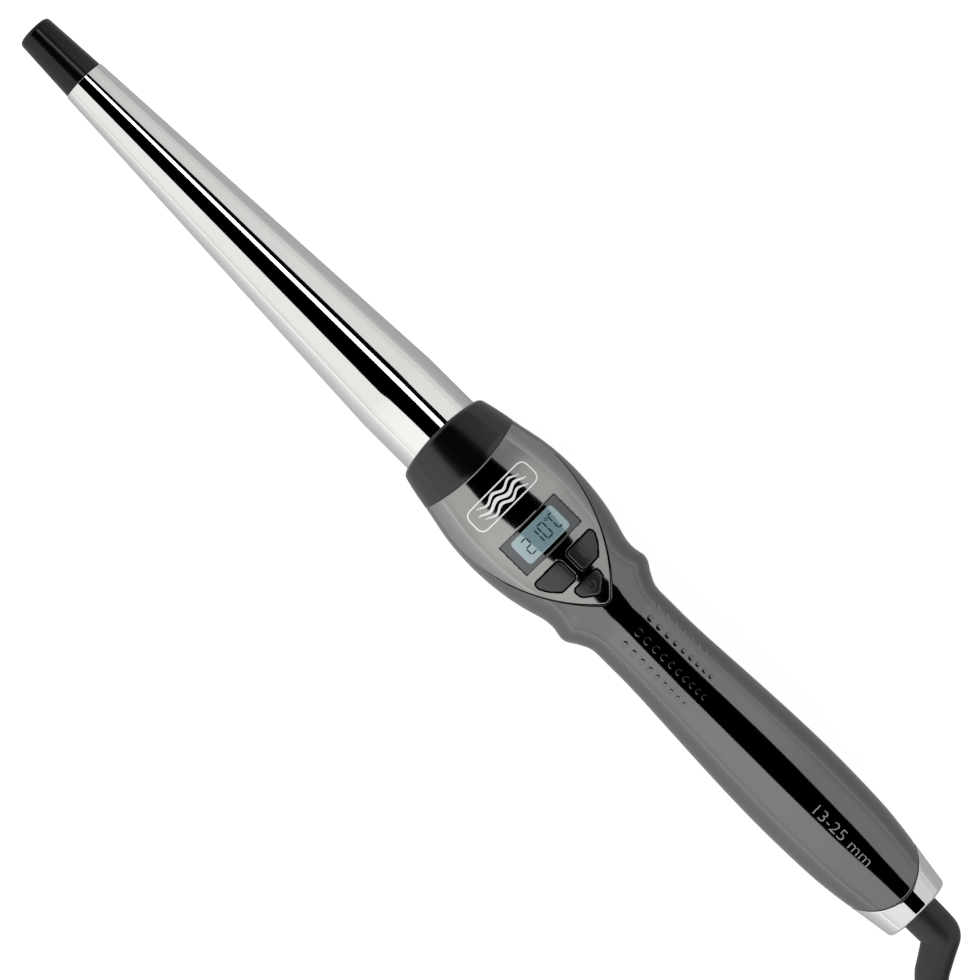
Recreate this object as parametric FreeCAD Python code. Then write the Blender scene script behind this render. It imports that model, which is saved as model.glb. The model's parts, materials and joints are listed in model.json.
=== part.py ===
import FreeCAD, Part
import math
import os

# Conical curling wand, in millimetres. X runs along the wand: the tip points to -X, the cord leaves
# at +X. +Z is up through the control panel. The wand lies on z = 0, and its axis is AXIS_Z above it.
# Every piece of the wand is drawn about its own axis (z = 0 there) and lifted by AXIS_Z at the end.
AXIS_Z = 18.5

# heated end
BARREL_R = 12.5
BARREL_TIP_R = 6.45
BARREL_WALL = 0.6
BARREL_FRONT = -147.3
CONE_LENGTH = 117.8
BARREL_BACK = -1.0
TIP_LENGTH = 18.9
PIN_X = -6.0                 # ring of three radial pins that hold the barrel on its seat
PIN_BODY_R = 1.0
PIN_HOLE_R = 1.05
SPREADER_X = (-134.0, -14.0)
SPREADER_GAP = 0.15
SPREADER_WALL = 1.8
HEATER_THICK = 1.8
HEATER_AIR = 0.5             # from the heating plate to each spreader's flat

# handle: x from the barrel's base, half width, height of the top, depth of the underside
HANDLE_LENGTH = 166.5        # from x = 0 to the end of the ferrule
DRAWN_LENGTH = 166.5         # the length that the stations and routes below were drawn for
NECK_X = 66.0                # the head, in front of this, keeps its length
SWIVEL_X = 136.0             # the swivel's end, behind this, keeps its length too
WALL = 2.4
PANEL_T = 1.2
GAP = 0.3
STATIONS = [
    (-15.2, 13.6, 13.6, 13.4), (-8.0, 15.45, 15.3, 15.2), (0.0, 16.95, 16.8, 16.9), (8.0, 18.5, 18.1, 18.7),
    (16.0, 19.15, 18.6, 19.3), (24.0, 18.9, 18.4, 19.1), (31.0, 18.0, 17.6, 18.2), (37.0, 16.6, 16.4, 17.3),
    (41.5, 15.35, 15.4, 16.5), (45.0, 15.2, 14.5, 16.2), (48.5, 15.7, 13.6, 16.2), (52.0, 13.9, 12.9, 15.1),
    (55.5, 12.2, 12.55, 13.9), (60.0, 11.9, 12.45, 13.4), (66.0, 11.9, 12.6, 13.6), (74.0, 12.1, 13.0, 14.5),
    (84.0, 12.65, 13.7, 16.0), (95.0, 13.25, 14.3, 17.4), (107.0, 13.8, 14.8, 18.5), (119.0, 14.1, 15.0, 19.0),
    (131.0, 13.97, 14.7, 18.5), (143.0, 13.4, 13.9, 16.9), (154.0, 12.0, 12.4, 14.0),
    (160.0, 11.05, 11.3, 12.0), (166.5, 10.1, 10.2, 10.2),
]

# seams between the collar, the shells and the ferrule: upright cylinders, so they bow along X
COLLAR_FRONT = (-14.4, 59.5)     # x where the seam crosses the middle, radius
COLLAR_BACK = (0.5, 53.7)
TONGUE = (160.5, 13.4)
LIP_REACH = 1.3                  # the collar's lip under the shells
LIP_BORE = 13.2

# control panel: a shield of two arcs that meet in a point, and what is set into it
SHIELD_ARC_R = 50.5
SHIELD_ARC_X = 11.7
SHIELD_ARC_Y = 32.7
SHIELD_FRONT = (-10.0, 14.5)     # x ahead of the collar's seam, half width there
LENS = (19.0, 29.5, 10.25)       # front, back, half width
LCD = (19.8, 28.9, 9.0)
LCD_Z = (12.7, 14.3)
BUTTON_TRAVEL = 0.5
BUTTON_PROUD = 0.5
FLANGE_Z = (8.2, 9.0)
FLANGE_RIM = 0.9
BUTTON_GAP = 0.35

# electronics
BOARD_Z = (2.0, 3.6)
BOARD = (12.6, 50.0, 13.0, 9.4)  # front, back, half width at the front and at the back
BOARD_SCREWS = [(15.6, 10.0), (15.6, -10.0), (47.8, 0.0)]
SWITCHES = [(35.6, 5.2), (35.6, -5.2), (43.4, 0.0)]
GRIP_BOARD = (68.0, 126.0, 8.2, -1.6, 0.0)

# screws through the lower shell
SCREW_R = 1.3
SCREW_HEAD_R = 2.4
SCREW_PLACES = [(8.2, 8.6), (8.2, -8.6), (61.0, 0.0), (134.0, 0.0)]

# swivel at the cord end
JOURNAL_R = 7.5
JOURNAL_FIT = 0.06
SPINDLE_R = 3.2
RING_R = 4.6
JOURNAL = (153.6, 163.8)
END_HOLE_R = 6.0

# cord, from the end wall of the ferrule to the plug
CORD_R = 3.0
BOOT_RADII = [(0.0, 5.6), (0.28, 5.6), (0.5, 4.8), (1.0, 3.9)]     # share of its length, radius
BOOT_ROUTE = [(163.9, 0.0, 18.5), (175.8, 0.0, 18.5), (182.4, -10.5, 14.5), (189.0, -15.6, 11.1)]
LEAD_ROUTE = [(189.0, -15.6, 11.1), (197.8, -22.5, 6.6), (210.7, -26.8, 3.5), (221.0, -27.3, 3.05),
              (231.0, -27.4, 3.05)]
HANK_X = 270.0
HANK_Y = -3.4
HANK_LOOP_X = 40.0           # from the middle of the hank to the middle of each end loop
HANK_LOOP_R = 21.0           # middle of the bundle round an end loop
HANK_WAIST = 6.0             # middle of the bundle from the hank's centre line, at the tie
HANK_LAYERS = 3
TAIL_ROUTE = [(230.0, -21.4, 15.0), (245.0, -19.6, 16.2), (268.0, -9.0, 24.4), (284.0, -8.2, 24.9)]
TIE_WIDTH = 8.0
TIE_T = 0.9

# two-pin plug for mains up to 2.5 A
PLUG_W = 35.3
PLUG_T = 13.7
PLUG_L = 34.0
PIN_R = 2.0
PIN_ROOT_R = 1.5             # the part of each pin that is moulded into the plug
PIN_ROOT = 8.0
PIN_LENGTH = 19.0
PIN_SPACING = 18.6

os.makedirs("parts", exist_ok=True)


def vec(x, y, z=0.0):
    return FreeCAD.Vector(x, y, z)


def handle_x(x):
    """Moves a place along the handle when HANDLE_LENGTH changes: only the grip stretches."""
    share = (x - NECK_X) / (SWIVEL_X - NECK_X)
    return x + (HANDLE_LENGTH - DRAWN_LENGTH) * min(1.0, max(0.0, share))


def behind(x, y=0.0, z=0.0):
    """A place behind the wand, which moves with the handle's end."""
    return vec(x + HANDLE_LENGTH - DRAWN_LENGTH, y, z)


def box(x0, x1, y0, y1, z0, z1):
    return Part.makeBox(x1 - x0, y1 - y0, z1 - z0, vec(x0, y0, z0))


def rod(x0, x1, r, y=0.0, z=0.0):
    return Part.makeCylinder(r, x1 - x0, vec(x0, y, z), vec(1, 0, 0))


def post(x, y, z0, z1, r):
    return Part.makeCylinder(r, z1 - z0, vec(x, y, z0))


def ring(x0, x1, outer, inner):
    return rod(x0, x1, outer).cut(rod(x0 - 1, x1 + 1, inner))


def turned(points):
    """A solid turned about X from its (x, radius) corners."""
    corners = [vec(x, 0, r) for x, r in points]
    face = Part.Face(Part.makePolygon(corners + corners[:1]))
    return face.revolve(vec(0, 0), vec(1, 0, 0), 360)


def prism(points, z0, z1):
    corners = [vec(x, y, z0) for x, y in points]
    return Part.Face(Part.makePolygon(corners + corners[:1])).extrude(vec(0, 0, z1 - z0))


def joined(solids):
    first, *rest = solids
    return first.fuse(rest).removeSplitter() if rest else first


def rounded(solid, radius, wanted):
    """Rounds the edges that wanted(edge) picks."""
    edges = [edge for edge in solid.Edges if wanted(edge)]
    return solid.makeFillet(radius, edges)


def section(x, a, h, side):
    """Half of an ellipse across the wand, closed by its flat side."""
    half = Part.Arc(vec(0, -1, 0), vec(0, 0, side), vec(0, 1, 0)).toShape()
    stretch = FreeCAD.Matrix()
    stretch.A22 = a
    stretch.A33 = h
    stretch.A14 = x
    half = half.transformGeometry(stretch)
    return Part.Wire([half, Part.makeLine(vec(x, a), vec(x, -a))])


def half_body(side, inset):
    """The wand's outer shape from collar to ferrule, above (side 1) or below (side -1) its axis."""
    wires = []
    for x, a, top, bottom in STATIONS:
        height = top if side > 0 else bottom
        wires.append(section(handle_x(x), a - inset, height - inset, side))
    return Part.makeLoft(wires, True, False)


def seam(place, grow=0.0, sign=1):
    """An upright cylinder whose skin crosses the middle of the wand at place[0]."""
    x, r = place
    return Part.makeCylinder(r + grow, 60, vec(x - sign * r, 0, -30))


def shield(grow):
    """The panel's outline as a prism, larger all round by grow."""
    r = SHIELD_ARC_R + grow
    left = Part.makeCylinder(r, 60, vec(SHIELD_ARC_X, -SHIELD_ARC_Y, -30))
    right = Part.makeCylinder(r, 60, vec(SHIELD_ARC_X, SHIELD_ARC_Y, -30))
    pointed = left.common(right).common(box(SHIELD_ARC_X, 60, -30, 30, -30, 30))
    x, front = SHIELD_FRONT[0], SHIELD_FRONT[1] + grow
    wide = r - SHIELD_ARC_Y
    sides = [(x, -front), (SHIELD_ARC_X, -wide), (SHIELD_ARC_X, wide), (x, front)]
    return joined([pointed, prism(sides, -30, 30)])


def button_outline(name, grow):
    """Up and down are mirror images either side of the middle; power is a rounded triangle."""
    if name == "power":
        corners = [(40.9 - grow, -4.3 - grow), (44.0, -4.3 - grow), (46.8 + 1.4 * grow, -0.6),
                   (46.8 + 1.4 * grow, 0.6), (44.0, 4.3 + grow), (40.9 - grow, 4.3 + grow)]
        return prism(corners, 0, 30)
    side = 1 if name == "up" else -1
    inner, outer = 1.2 - grow, 10.3 + grow
    corners = [(32.4 - grow, side * inner), (32.4 - grow, side * outer), (34.4, side * outer),
               (39.1 + grow, side * (6.4 + grow)), (39.1 + grow, side * inner)]
    return prism(corners, 0, 30)


def lifted(solid):
    return solid.translated(vec(0, 0, AXIS_Z))


def export(name, shape, on_axis=True):
    shape = lifted(shape) if on_axis else shape
    shape.exportStep(f"parts/{name}.step")
    print(f"{name:18s} volume {shape.Volume:10.1f} valid {shape.isValid()} solids {len(shape.Solids)}")


# --------------------------------------------------------------------------- heated end
def barrel_r(x):
    """Outer radius of the barrel at x."""
    share = min(1.0, max(0.0, (x - BARREL_FRONT) / CONE_LENGTH))
    return BARREL_TIP_R + share * (BARREL_R - BARREL_TIP_R)


def make_barrel():
    cone_end = BARREL_FRONT + CONE_LENGTH
    w = BARREL_WALL
    tube = turned([(BARREL_FRONT, BARREL_TIP_R - w), (BARREL_FRONT, BARREL_TIP_R), (cone_end, BARREL_R),
                   (BARREL_BACK, BARREL_R), (BARREL_BACK, BARREL_R - w), (cone_end, BARREL_R - w)])
    return tube.cut(joined(pin_rods(PIN_HOLE_R)))


def make_tip_cap():
    back = BARREL_FRONT - 0.3
    front = back - TIP_LENGTH
    cap = turned([(front, 0), (front, 5.1), (back, 6.15), (back, 0)])
    cap = rounded(cap, 1.3, lambda e: abs(e.BoundBox.XMax - front) < 0.01 and e.BoundBox.YLength > 9)
    spigot = turned([(back - 1, 0), (back - 1, BARREL_TIP_R - BARREL_WALL - 0.06),
                     (back + 8, BARREL_TIP_R - BARREL_WALL - 0.06), (back + 8, 0)])
    return joined([cap, spigot]).cut(rod(front + 4, back + 9, 3.6))


def pin_rods(r):
    """Three radial pins that hold the barrel on its seat."""
    rods = []
    for angle in (90, 210, 330):
        out = vec(0, math.cos(math.radians(angle)), math.sin(math.radians(angle)))
        rods.append(Part.makeCylinder(r, 3.2, vec(PIN_X, 0, 0) + out * (BARREL_R - 3.3), out))
    return rods


def make_barrel_seat():
    sleeve = ring(-11.0, 0.5, BARREL_R - BARREL_WALL - 0.08, 8.6)
    flange = ring(-0.6, 1.8, LIP_BORE - 0.3, 7.0)
    return joined([sleeve, flange]).cut(joined(pin_rods(PIN_HOLE_R)))


def make_spreader(side):
    """Half a cone of extruded aluminium with a hollow along it; its flat face is on the heater."""
    x0, x1 = SPREADER_X
    gap = BARREL_WALL + SPREADER_GAP
    outer = turned([(x0, 0), (x0, barrel_r(x0) - gap), (BARREL_FRONT + CONE_LENGTH, BARREL_R - gap),
                    (x1, BARREL_R - gap), (x1, 0)])
    gap += SPREADER_WALL
    hollow = turned([(x0 - 1, 0), (x0 - 1, barrel_r(x0 - 1) - gap),
                     (BARREL_FRONT + CONE_LENGTH, BARREL_R - gap), (x1 + 1, BARREL_R - gap), (x1 + 1, 0)])
    flat = HEATER_THICK / 2 + HEATER_AIR
    near, far = sorted((side * flat, side * 20))
    keep = box(x0 - 2, x1 + 2, -20, 20, near, far)
    near, far = sorted((side * (flat + SPREADER_WALL), side * 20))
    inside = box(x0 - 2, x1 + 2, -20, 20, near, far)
    return outer.common(keep).cut(hollow.common(inside))


def make_heater():
    return box(-130.0, -20.0, -4.4, 4.4, -HEATER_THICK / 2, HEATER_THICK / 2)


def make_heater_sleeve():
    t = HEATER_THICK / 2
    outer = box(-131.0, -19.0, -5.0, 5.0, -t - 0.35, t + 0.35)
    return outer.cut(box(-140, 0, -4.6, 4.6, -t - 0.1, t + 0.1))


def make_heater_terminals():
    return [box(-19.9, -11.0, y - 1.5, y + 1.5, -0.3, 0.3) for y in (-2.6, 2.6)]


def make_sensor():
    return joined([rod(-52.0, -46.0, 1.3, 0, 4.55), rod(-46.5, -9.0, 0.5, 0, 4.2)])


def make_thermal_fuse():
    return joined([rod(-10.5, -1.5, 2.0, 3.0, -5.6), rod(-13.5, 1.6, 0.5, 3.0, -5.6)])


# --------------------------------------------------------------------------- handle
def make_collar(outer_halves, lip_halves):
    """Heat collar round the barrel, with a lip that closes the seam from inside the shells."""
    body = joined(outer_halves).common(seam(COLLAR_FRONT, sign=-1)).common(seam(COLLAR_BACK))
    lip = joined(lip_halves).common(seam(COLLAR_BACK, LIP_REACH)).common(box(-8, 5, -20, 20, -20, 20))
    return joined([body, lip]).cut(rod(-30, 10, BARREL_R + GAP)).cut(rod(-0.9, 10, LIP_BORE))


def pillar_walls(side):
    """Screw pillars that stand on the inside of a shell and end just short of the middle."""
    pillars = []
    for x, y in SCREW_PLACES:
        z0, z1 = (0.15, 20) if side > 0 else (-20, -0.15)
        pillars.append(post(handle_x(x), y, z0, z1, SCREW_R + 1.9))
    return pillars


def seat_ribs():
    """The rib behind the barrel seat that both shells carry."""
    return ring(2.1, 3.5, 25, 11.0)


def shell(side, outer, inner):
    """Hollow half of the handle between the collar seam and the ferrule seam."""
    hollow = outer.cut(inner)
    inside = joined(pillar_walls(side) + [seat_ribs()]).common(inner.common(half_space(side)))
    whole = joined([hollow, inside]).cut(rod(handle_x(152.4), HANDLE_LENGTH, JOURNAL_R + 2.15))
    return whole.cut(seam(COLLAR_BACK, GAP / 2)).common(ahead_of_tongue(-GAP / 2))


def half_space(side):
    z0, z1 = (0, 40) if side > 0 else (-40, 0)
    return box(-50, HANDLE_LENGTH + 50, -40, 40, z0, z1)


def ahead_of_tongue(grow):
    """Everything in front of the seam between the shells and the ferrule, which ends in a tongue."""
    x, r = handle_x(TONGUE[0]), TONGUE[1]
    return joined([seam((x, r), grow), box(-60, x - r, -30, 30, -30, 30)])


def under_table():
    """Everything below the plane that the wand lies on."""
    return box(-50, 250, -30, 30, -40, -AXIS_Z)


def make_handle_bottom(outer, inner):
    whole = shell(-1, outer, inner).cut(under_table())
    for x, y in SCREW_PLACES:
        x = handle_x(x)
        whole = whole.cut(post(x, y, -30, 1, SCREW_R + 0.15)).cut(post(x, y, -30, -6.5, SCREW_HEAD_R + 0.2))
    return whole


def make_handle_top(outer, inner, under_panel):
    whole = shell(1, outer, inner)
    recess = outer.cut(under_panel).common(shield(0.25))
    whole = whole.cut(recess)
    front, back, half = LCD
    whole = whole.cut(box(front - GAP, back + GAP, -half - GAP, half + GAP, 6, 30))
    for name in ("up", "down", "power"):
        whole = whole.cut(button_outline(name, BUTTON_GAP))
    for x, y in SCREW_PLACES:
        whole = whole.cut(post(handle_x(x), y, -1, 6.5, SCREW_R + 0.05))
    return whole


def make_panel(outer, under_panel):
    skin = outer.cut(under_panel).common(shield(0)).cut(seam(COLLAR_BACK, GAP / 2))
    front, back, half = LENS
    skin = skin.cut(box(front, back, -half, half, 0, 30))
    for name in ("up", "down", "power"):
        skin = skin.cut(button_outline(name, BUTTON_GAP))
    return skin


def make_lens(outer, under_panel):
    front, back, half = LENS
    edge = 0.08
    return outer.cut(under_panel).common(box(front + edge, back - edge, -half + edge, half - edge, 0, 30))


def make_lcd_glass():
    front, back, half = LCD
    return box(front, back, -half, half, *LCD_Z)


def make_lcd_holder():
    front, back, half = LCD
    block = box(front - 0.1, back + 0.1, -half, half, BOARD_Z[1], LCD_Z[0])
    for x in (front + 0.9, back - 2.9):
        block = block.cut(box(x, x + 2.0, -half + 1.5, half - 1.5, BOARD_Z[1] - 1, LCD_Z[0] + 1))
    return block


def make_connector_strips():
    front, back, half = LCD
    strips = []
    for x in (front + 1.0, back - 2.8):
        strips.append(box(x, x + 1.8, -half + 1.7, half - 1.7, BOARD_Z[1], LCD_Z[0]))
    return strips


def make_button(name, crown):
    """Cap that follows the panel and stands proud of it, with a flange under the shell and a stem."""
    cap = button_outline(name, 0).common(crown).cut(box(0, 80, -30, 30, -5, FLANGE_Z[0] + 0.1))
    flange = button_outline(name, FLANGE_RIM).common(box(0, 80, -30, 30, *FLANGE_Z))
    if name == "power":
        flange = flange.cut(box(30, 40.2, -20, 20, 0, 20))
    else:
        side = 1 if name == "up" else -1
        near, far = sorted((side * 0.6, side * 30))
        flange = flange.common(box(0, 39.7, near, far, 0, 20))
    return joined([cap, flange])


def make_switches():
    switches = []
    for x, y in SWITCHES:
        body = box(x - 2.2, x + 2.2, y - 2.2, y + 2.2, BOARD_Z[1], BOARD_Z[1] + 3.2)
        plunger = post(x, y, BOARD_Z[1] + 3.0, FLANGE_Z[0] - BUTTON_TRAVEL - 0.2, 1.1)
        switches.append(joined([body, plunger]))
    return switches


def make_board():
    front, back, wide, narrow = BOARD
    corners = [(front, -wide), (37.0, -wide), (back, -narrow), (back, narrow), (37.0, wide), (front, wide)]
    board = prism(corners, *BOARD_Z)
    for x, y in BOARD_SCREWS:
        board = board.cut(post(x, y, -5, 10, 1.1))
    return board


def make_board_screws():
    screws = []
    for x, y in BOARD_SCREWS:
        shank = post(x, y, -1.8, BOARD_Z[1] + 0.1, 0.9)
        screws.append(joined([shank, post(x, y, BOARD_Z[1] + 0.05, BOARD_Z[1] + 1.4, 1.8)]))
    return screws


def board_posts():
    """Posts of the lower shell that carry the control board."""
    return [post(x, y, -20, BOARD_Z[0] - 0.05, 2.2).cut(post(x, y, -2.2, 5, 0.95)) for x, y in BOARD_SCREWS]


def make_chips():
    chips = [box(17.5, 24.5, -3.5, 3.5, 0.5, BOARD_Z[0]), box(28.0, 33.0, -8.0, -4.0, 0.6, BOARD_Z[0])]
    return chips + [rod(28.0, 34.5, 1.2, 6.5, 0.75)]


def make_grip_board():
    x0, x1, half, z0, z1 = GRIP_BOARD
    return box(handle_x(x0), handle_x(x1), -half, half, z0, z1)


def grip_cradles():
    """Ribs of the lower shell that the power board lies on."""
    x0, x1, half, z0, _ = GRIP_BOARD
    return [box(handle_x(x), handle_x(x) + 1.6, -half, half, -20, z0 - 0.05) for x in (x0 + 3, x1 - 5)]


def make_triac():
    x = handle_x(78.0)
    tab = box(x - 8.0, x + 8.0, 3.4, 4.6, 0.1, 8.2)
    return joined([box(x - 5.0, x + 5.0, -0.6, 3.6, 0.1, 8.2), tab])


def make_film_capacitor():
    x = handle_x(97.0)
    return box(x - 7.0, x + 7.0, -3.2, 3.2, 0.1, 9.6)


def make_resistor():
    x = handle_x(113.0)
    return joined([rod(x - 5.5, x + 5.5, 2.2, 0, 2.5), rod(x - 7.5, x + 7.5, 0.4, 0, 2.5)])


def make_shell_screws():
    screws = []
    for x, y in SCREW_PLACES:
        x = handle_x(x)
        head = post(x, y, -9.0, -6.6, SCREW_HEAD_R).cut(box(x - 3, x + 3, y - 0.4, y + 0.4, -9.5, -8.0))
        screws.append(joined([head, post(x, y, -6.7, 5.5, SCREW_R)]))
    return screws


def make_heater_leads():
    """Two insulated leads from the heater's terminals past the screw pillars to the power board."""
    leads = []
    for side in (1, -1):
        points = [(-10.8, side * 2.6, 0), (-3.0, side * 4.6, -1.0), (12.0, side * 3.2, -3.6),
                  (52.0, side * 5.2, -3.6), (62.0, side * 5.6, -3.2), (69.5, side * 5.5, -2.45)]
        leads.append(tube([vec(*p) for p in points], 0.8))
    return leads


# --------------------------------------------------------------------------- swivel and cord
def make_ferrule(outer_halves):
    end = HANDLE_LENGTH
    body = joined(outer_halves).cut(ahead_of_tongue(GAP / 2)).common(box(handle_x(148), end, -20, 20, -20, 20))
    socket_r = JOURNAL_R + 2.0
    socket = rod(handle_x(152.6), end - 2.2, socket_r)
    bore = rod(handle_x(140), handle_x(JOURNAL[1]) + GAP, JOURNAL_R + JOURNAL_FIT)
    return joined([body, socket]).cut(bore).cut(rod(0, 260, END_HOLE_R))


def make_swivel_core():
    x0, x1 = (handle_x(x) for x in JOURNAL)
    journal = rod(x0, x1, JOURNAL_R)
    spindle = rod(handle_x(139.6), x0 + 1, SPINDLE_R)
    neck = rod(x0 - 0.8, x0 + 0.5, SPINDLE_R + 1.6)
    return joined([journal, spindle, neck]).cut(rod(x0 + 3, x1 + 1, 2.4))


def make_slip_rings():
    rings = []
    for x in (142.0, 147.0):
        x = handle_x(x)
        rings.append(ring(x, x + 2.4, RING_R, SPINDLE_R))
    return rings


def make_brush_holder():
    x0, x1 = handle_x(139.8), handle_x(151.4)
    block = box(x0, x1, -7.6, 7.6, -6.3, 6.3).cut(rod(x0 - 1, x1 + 1, RING_R + 1.4))
    return block.cut(box(x0 + 1.4, x1 - 1.2, -9, 9, -1.4, 1.4))


def make_brushes():
    brushes = []
    for x, side in ((142.2, 1), (147.2, -1)):
        x = handle_x(x)
        near, far = sorted((side * (RING_R + 0.12), side * 7.4))
        brushes.append(box(x, x + 2.0, near, far, -1.1, 1.1))
    return brushes


def path(points):
    """Straight runs joined by tangent arcs, each as large as its runs allow."""
    edges, start = [], points[0]
    for before, corner, after in zip(points, points[1:], points[2:]):
        back, ahead = before - corner, after - corner
        turn = math.pi - back.getAngle(ahead)
        reach = 0.45 * min(back.Length, ahead.Length)
        back.normalize()
        ahead.normalize()
        middle = (back + ahead).normalize()
        radius = reach / math.tan(turn / 2)
        arc_in, arc_out = corner + back * reach, corner + ahead * reach
        centre = corner + middle * (radius / math.cos(turn / 2))
        edges.append(Part.makeLine(start, arc_in))
        edges.append(Part.Arc(arc_in, centre - middle * radius, arc_out).toShape())
        start = arc_out
        print(f"  arc radius {radius:6.1f} mm, turn {math.degrees(turn):5.1f}")
    edges.append(Part.makeLine(start, points[-1]))
    return Part.Wire(edges)


def tube(points, r):
    """A round rod along a path."""
    line = path(points)
    mouth = Part.Wire(Part.makeCircle(r, points[0], points[1] - points[0]))
    solid = line.makePipeShell([mouth], True, False)
    print(f"  tube length {line.Length:.1f}, volume {solid.Volume:.1f} of {math.pi * r * r * line.Length:.1f}")
    return solid


def round_section(r, place, heading):
    """A circle across heading whose starting point doesn't twist from one section to the next."""
    circle = Part.Wire(Part.makeCircle(r, vec(0, 0), vec(1, 0, 0)))
    circle.Placement = FreeCAD.Placement(place, FreeCAD.Rotation(vec(1, 0, 0), heading))
    return circle


def boot_r(share):
    """Radius of the strain relief at a share of its length."""
    for (s0, r0), (s1, r1) in zip(BOOT_RADII, BOOT_RADII[1:]):
        if share <= s1:
            return r0 + (r1 - r0) * (share - s0) / (s1 - s0)
    return BOOT_RADII[-1][1]


def make_boot():
    """Strain relief: a straight root, a bend towards the table, and a leg that tapers to the cord."""
    spots = path([behind(*p) for p in BOOT_ROUTE]).discretize(Number=19)
    last = len(spots) - 1
    sections = []
    for k, spot in enumerate(spots):
        heading = spots[min(k + 1, last)] - spots[max(k - 1, 0)]
        sections.append(round_section(boot_r(k / last), spot, heading))
    return Part.makeLoft(sections, True, True)


def peanut(offset, z0, z1):
    """The hank's outline, offset from the middle of its bundle: end loops that flow into a waist."""
    side_r = (HANK_LOOP_X ** 2 + HANK_WAIST ** 2 - HANK_LOOP_R ** 2) / (2 * (HANK_LOOP_R - HANK_WAIST))
    side_y = HANK_WAIST + side_r
    lean = math.atan2(side_y, HANK_LOOP_X)
    loop_r = HANK_LOOP_R + offset
    x0 = behind(HANK_X).x
    touch_x = HANK_LOOP_X - loop_r * math.cos(lean)
    touch_y = loop_r * math.sin(lean)

    def at(x, y):
        return vec(x0 + x, HANK_Y + y, z0)

    waist = side_y - (side_r - offset)
    right = Part.Arc(at(touch_x, -touch_y), at(HANK_LOOP_X + loop_r, 0), at(touch_x, touch_y))
    top = Part.Arc(at(touch_x, touch_y), at(0, waist), at(-touch_x, touch_y))
    left = Part.Arc(at(-touch_x, touch_y), at(-HANK_LOOP_X - loop_r, 0), at(-touch_x, -touch_y))
    bottom = Part.Arc(at(-touch_x, -touch_y), at(0, -waist), at(touch_x, -touch_y))
    outline = Part.Wire([arc.toShape() for arc in (right, top, left, bottom)])
    return Part.Face(outline).extrude(vec(0, 0, z1 - z0))


def make_hank():
    """The whole put-away cord as one closed solid, open inside its end loops, narrower at the tie."""
    height = 2 * CORD_R * HANK_LAYERS
    x0 = behind(HANK_X).x
    solid = peanut(2 * CORD_R, 0, height)
    for side in (-1, 1):
        solid = solid.cut(post(x0 + side * HANK_LOOP_X, HANK_Y, -1, height + 1, HANK_LOOP_R - 2 * CORD_R - 0.5))
    groove = box(x0 - TIE_WIDTH / 2 - 0.2, x0 + TIE_WIDTH / 2 + 0.2, -40, 40, -1, height + 1)
    kept = peanut(2 * CORD_R - TIE_T - 0.5, TIE_T + 0.1, height - TIE_T - 0.1)
    return solid.cut(groove).fuse(kept.common(groove)).removeSplitter()


def make_tie():
    x0 = behind(HANK_X - TIE_WIDTH / 2).x
    height = 2 * CORD_R * HANK_LAYERS
    half = HANK_WAIST + 2 * CORD_R + 0.1
    outer = box(x0, x0 + TIE_WIDTH, HANK_Y - half, HANK_Y + half, 0.05, height)
    return outer.cut(box(x0 - 1, x0 + 20, HANK_Y - half + TIE_T, HANK_Y + half - TIE_T, TIE_T, height - TIE_T))


def plug_back():
    """Middle of the plug's back, just past the cord's end."""
    return behind(*TAIL_ROUTE[-1]) + vec(0.2, 0)


def make_plug_body():
    x0, y0, z0 = plug_back()
    wide, narrow = PLUG_W / 2, 9.0
    shoulder = x0 + PLUG_L - 8.0
    corners = [(x0, -6.0), (x0 + 12.0, -narrow), (shoulder, -wide), (x0 + PLUG_L, -wide),
               (x0 + PLUG_L, wide), (shoulder, wide), (x0 + 12.0, narrow), (x0, 6.0)]
    body = prism([(x, y0 + y) for x, y in corners], z0 - PLUG_T / 2, z0 + PLUG_T / 2)
    body = rounded(body, 3.0, lambda e: e.BoundBox.ZLength < 0.01 and e.BoundBox.XMin > x0 - 1
                   and e.BoundBox.XLength > 1 and abs(e.BoundBox.XMin - x0 - PLUG_L) > 0.1)
    for side in (-1, 1):
        y = y0 + side * PIN_SPACING / 2
        body = body.cut(rod(x0 + PLUG_L - PIN_ROOT, x0 + PLUG_L + 1, PIN_ROOT_R, y, z0))
    return body


def make_plug_pins():
    x0, y0, z0 = plug_back()
    face = x0 + PLUG_L
    pins = []
    for side in (-1, 1):
        y = y0 + side * PIN_SPACING / 2
        root = rod(face - PIN_ROOT, face + 1, PIN_ROOT_R, y, z0)
        pins.append(joined([root, rod(face, face + PIN_LENGTH, PIN_R, y, z0)]))
    return pins


def group(solids):
    return Part.makeCompound(solids)


# --------------------------------------------------------------------------- build
outer_top, outer_bottom = half_body(1, 0), half_body(-1, 0)
inner_top, inner_bottom = half_body(1, WALL), half_body(-1, WALL)
under_panel = half_body(1, PANEL_T)
crown = half_body(1, -BUTTON_PROUD)
lip_halves = [half_body(side, WALL + 0.15) for side in (1, -1)]

export("barrel", make_barrel())
export("tip_cap", make_tip_cap())
export("barrel_seat", make_barrel_seat())
export("barrel_pins", group(pin_rods(PIN_BODY_R)))
export("spreader_top", make_spreader(1))
export("spreader_bottom", make_spreader(-1))
export("heater", make_heater())
export("heater_sleeve", make_heater_sleeve())
export("heater_terminals", group(make_heater_terminals()))
export("heat_sensor", make_sensor())
export("thermal_fuse", make_thermal_fuse())
export("heater_leads", group(make_heater_leads()))

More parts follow.
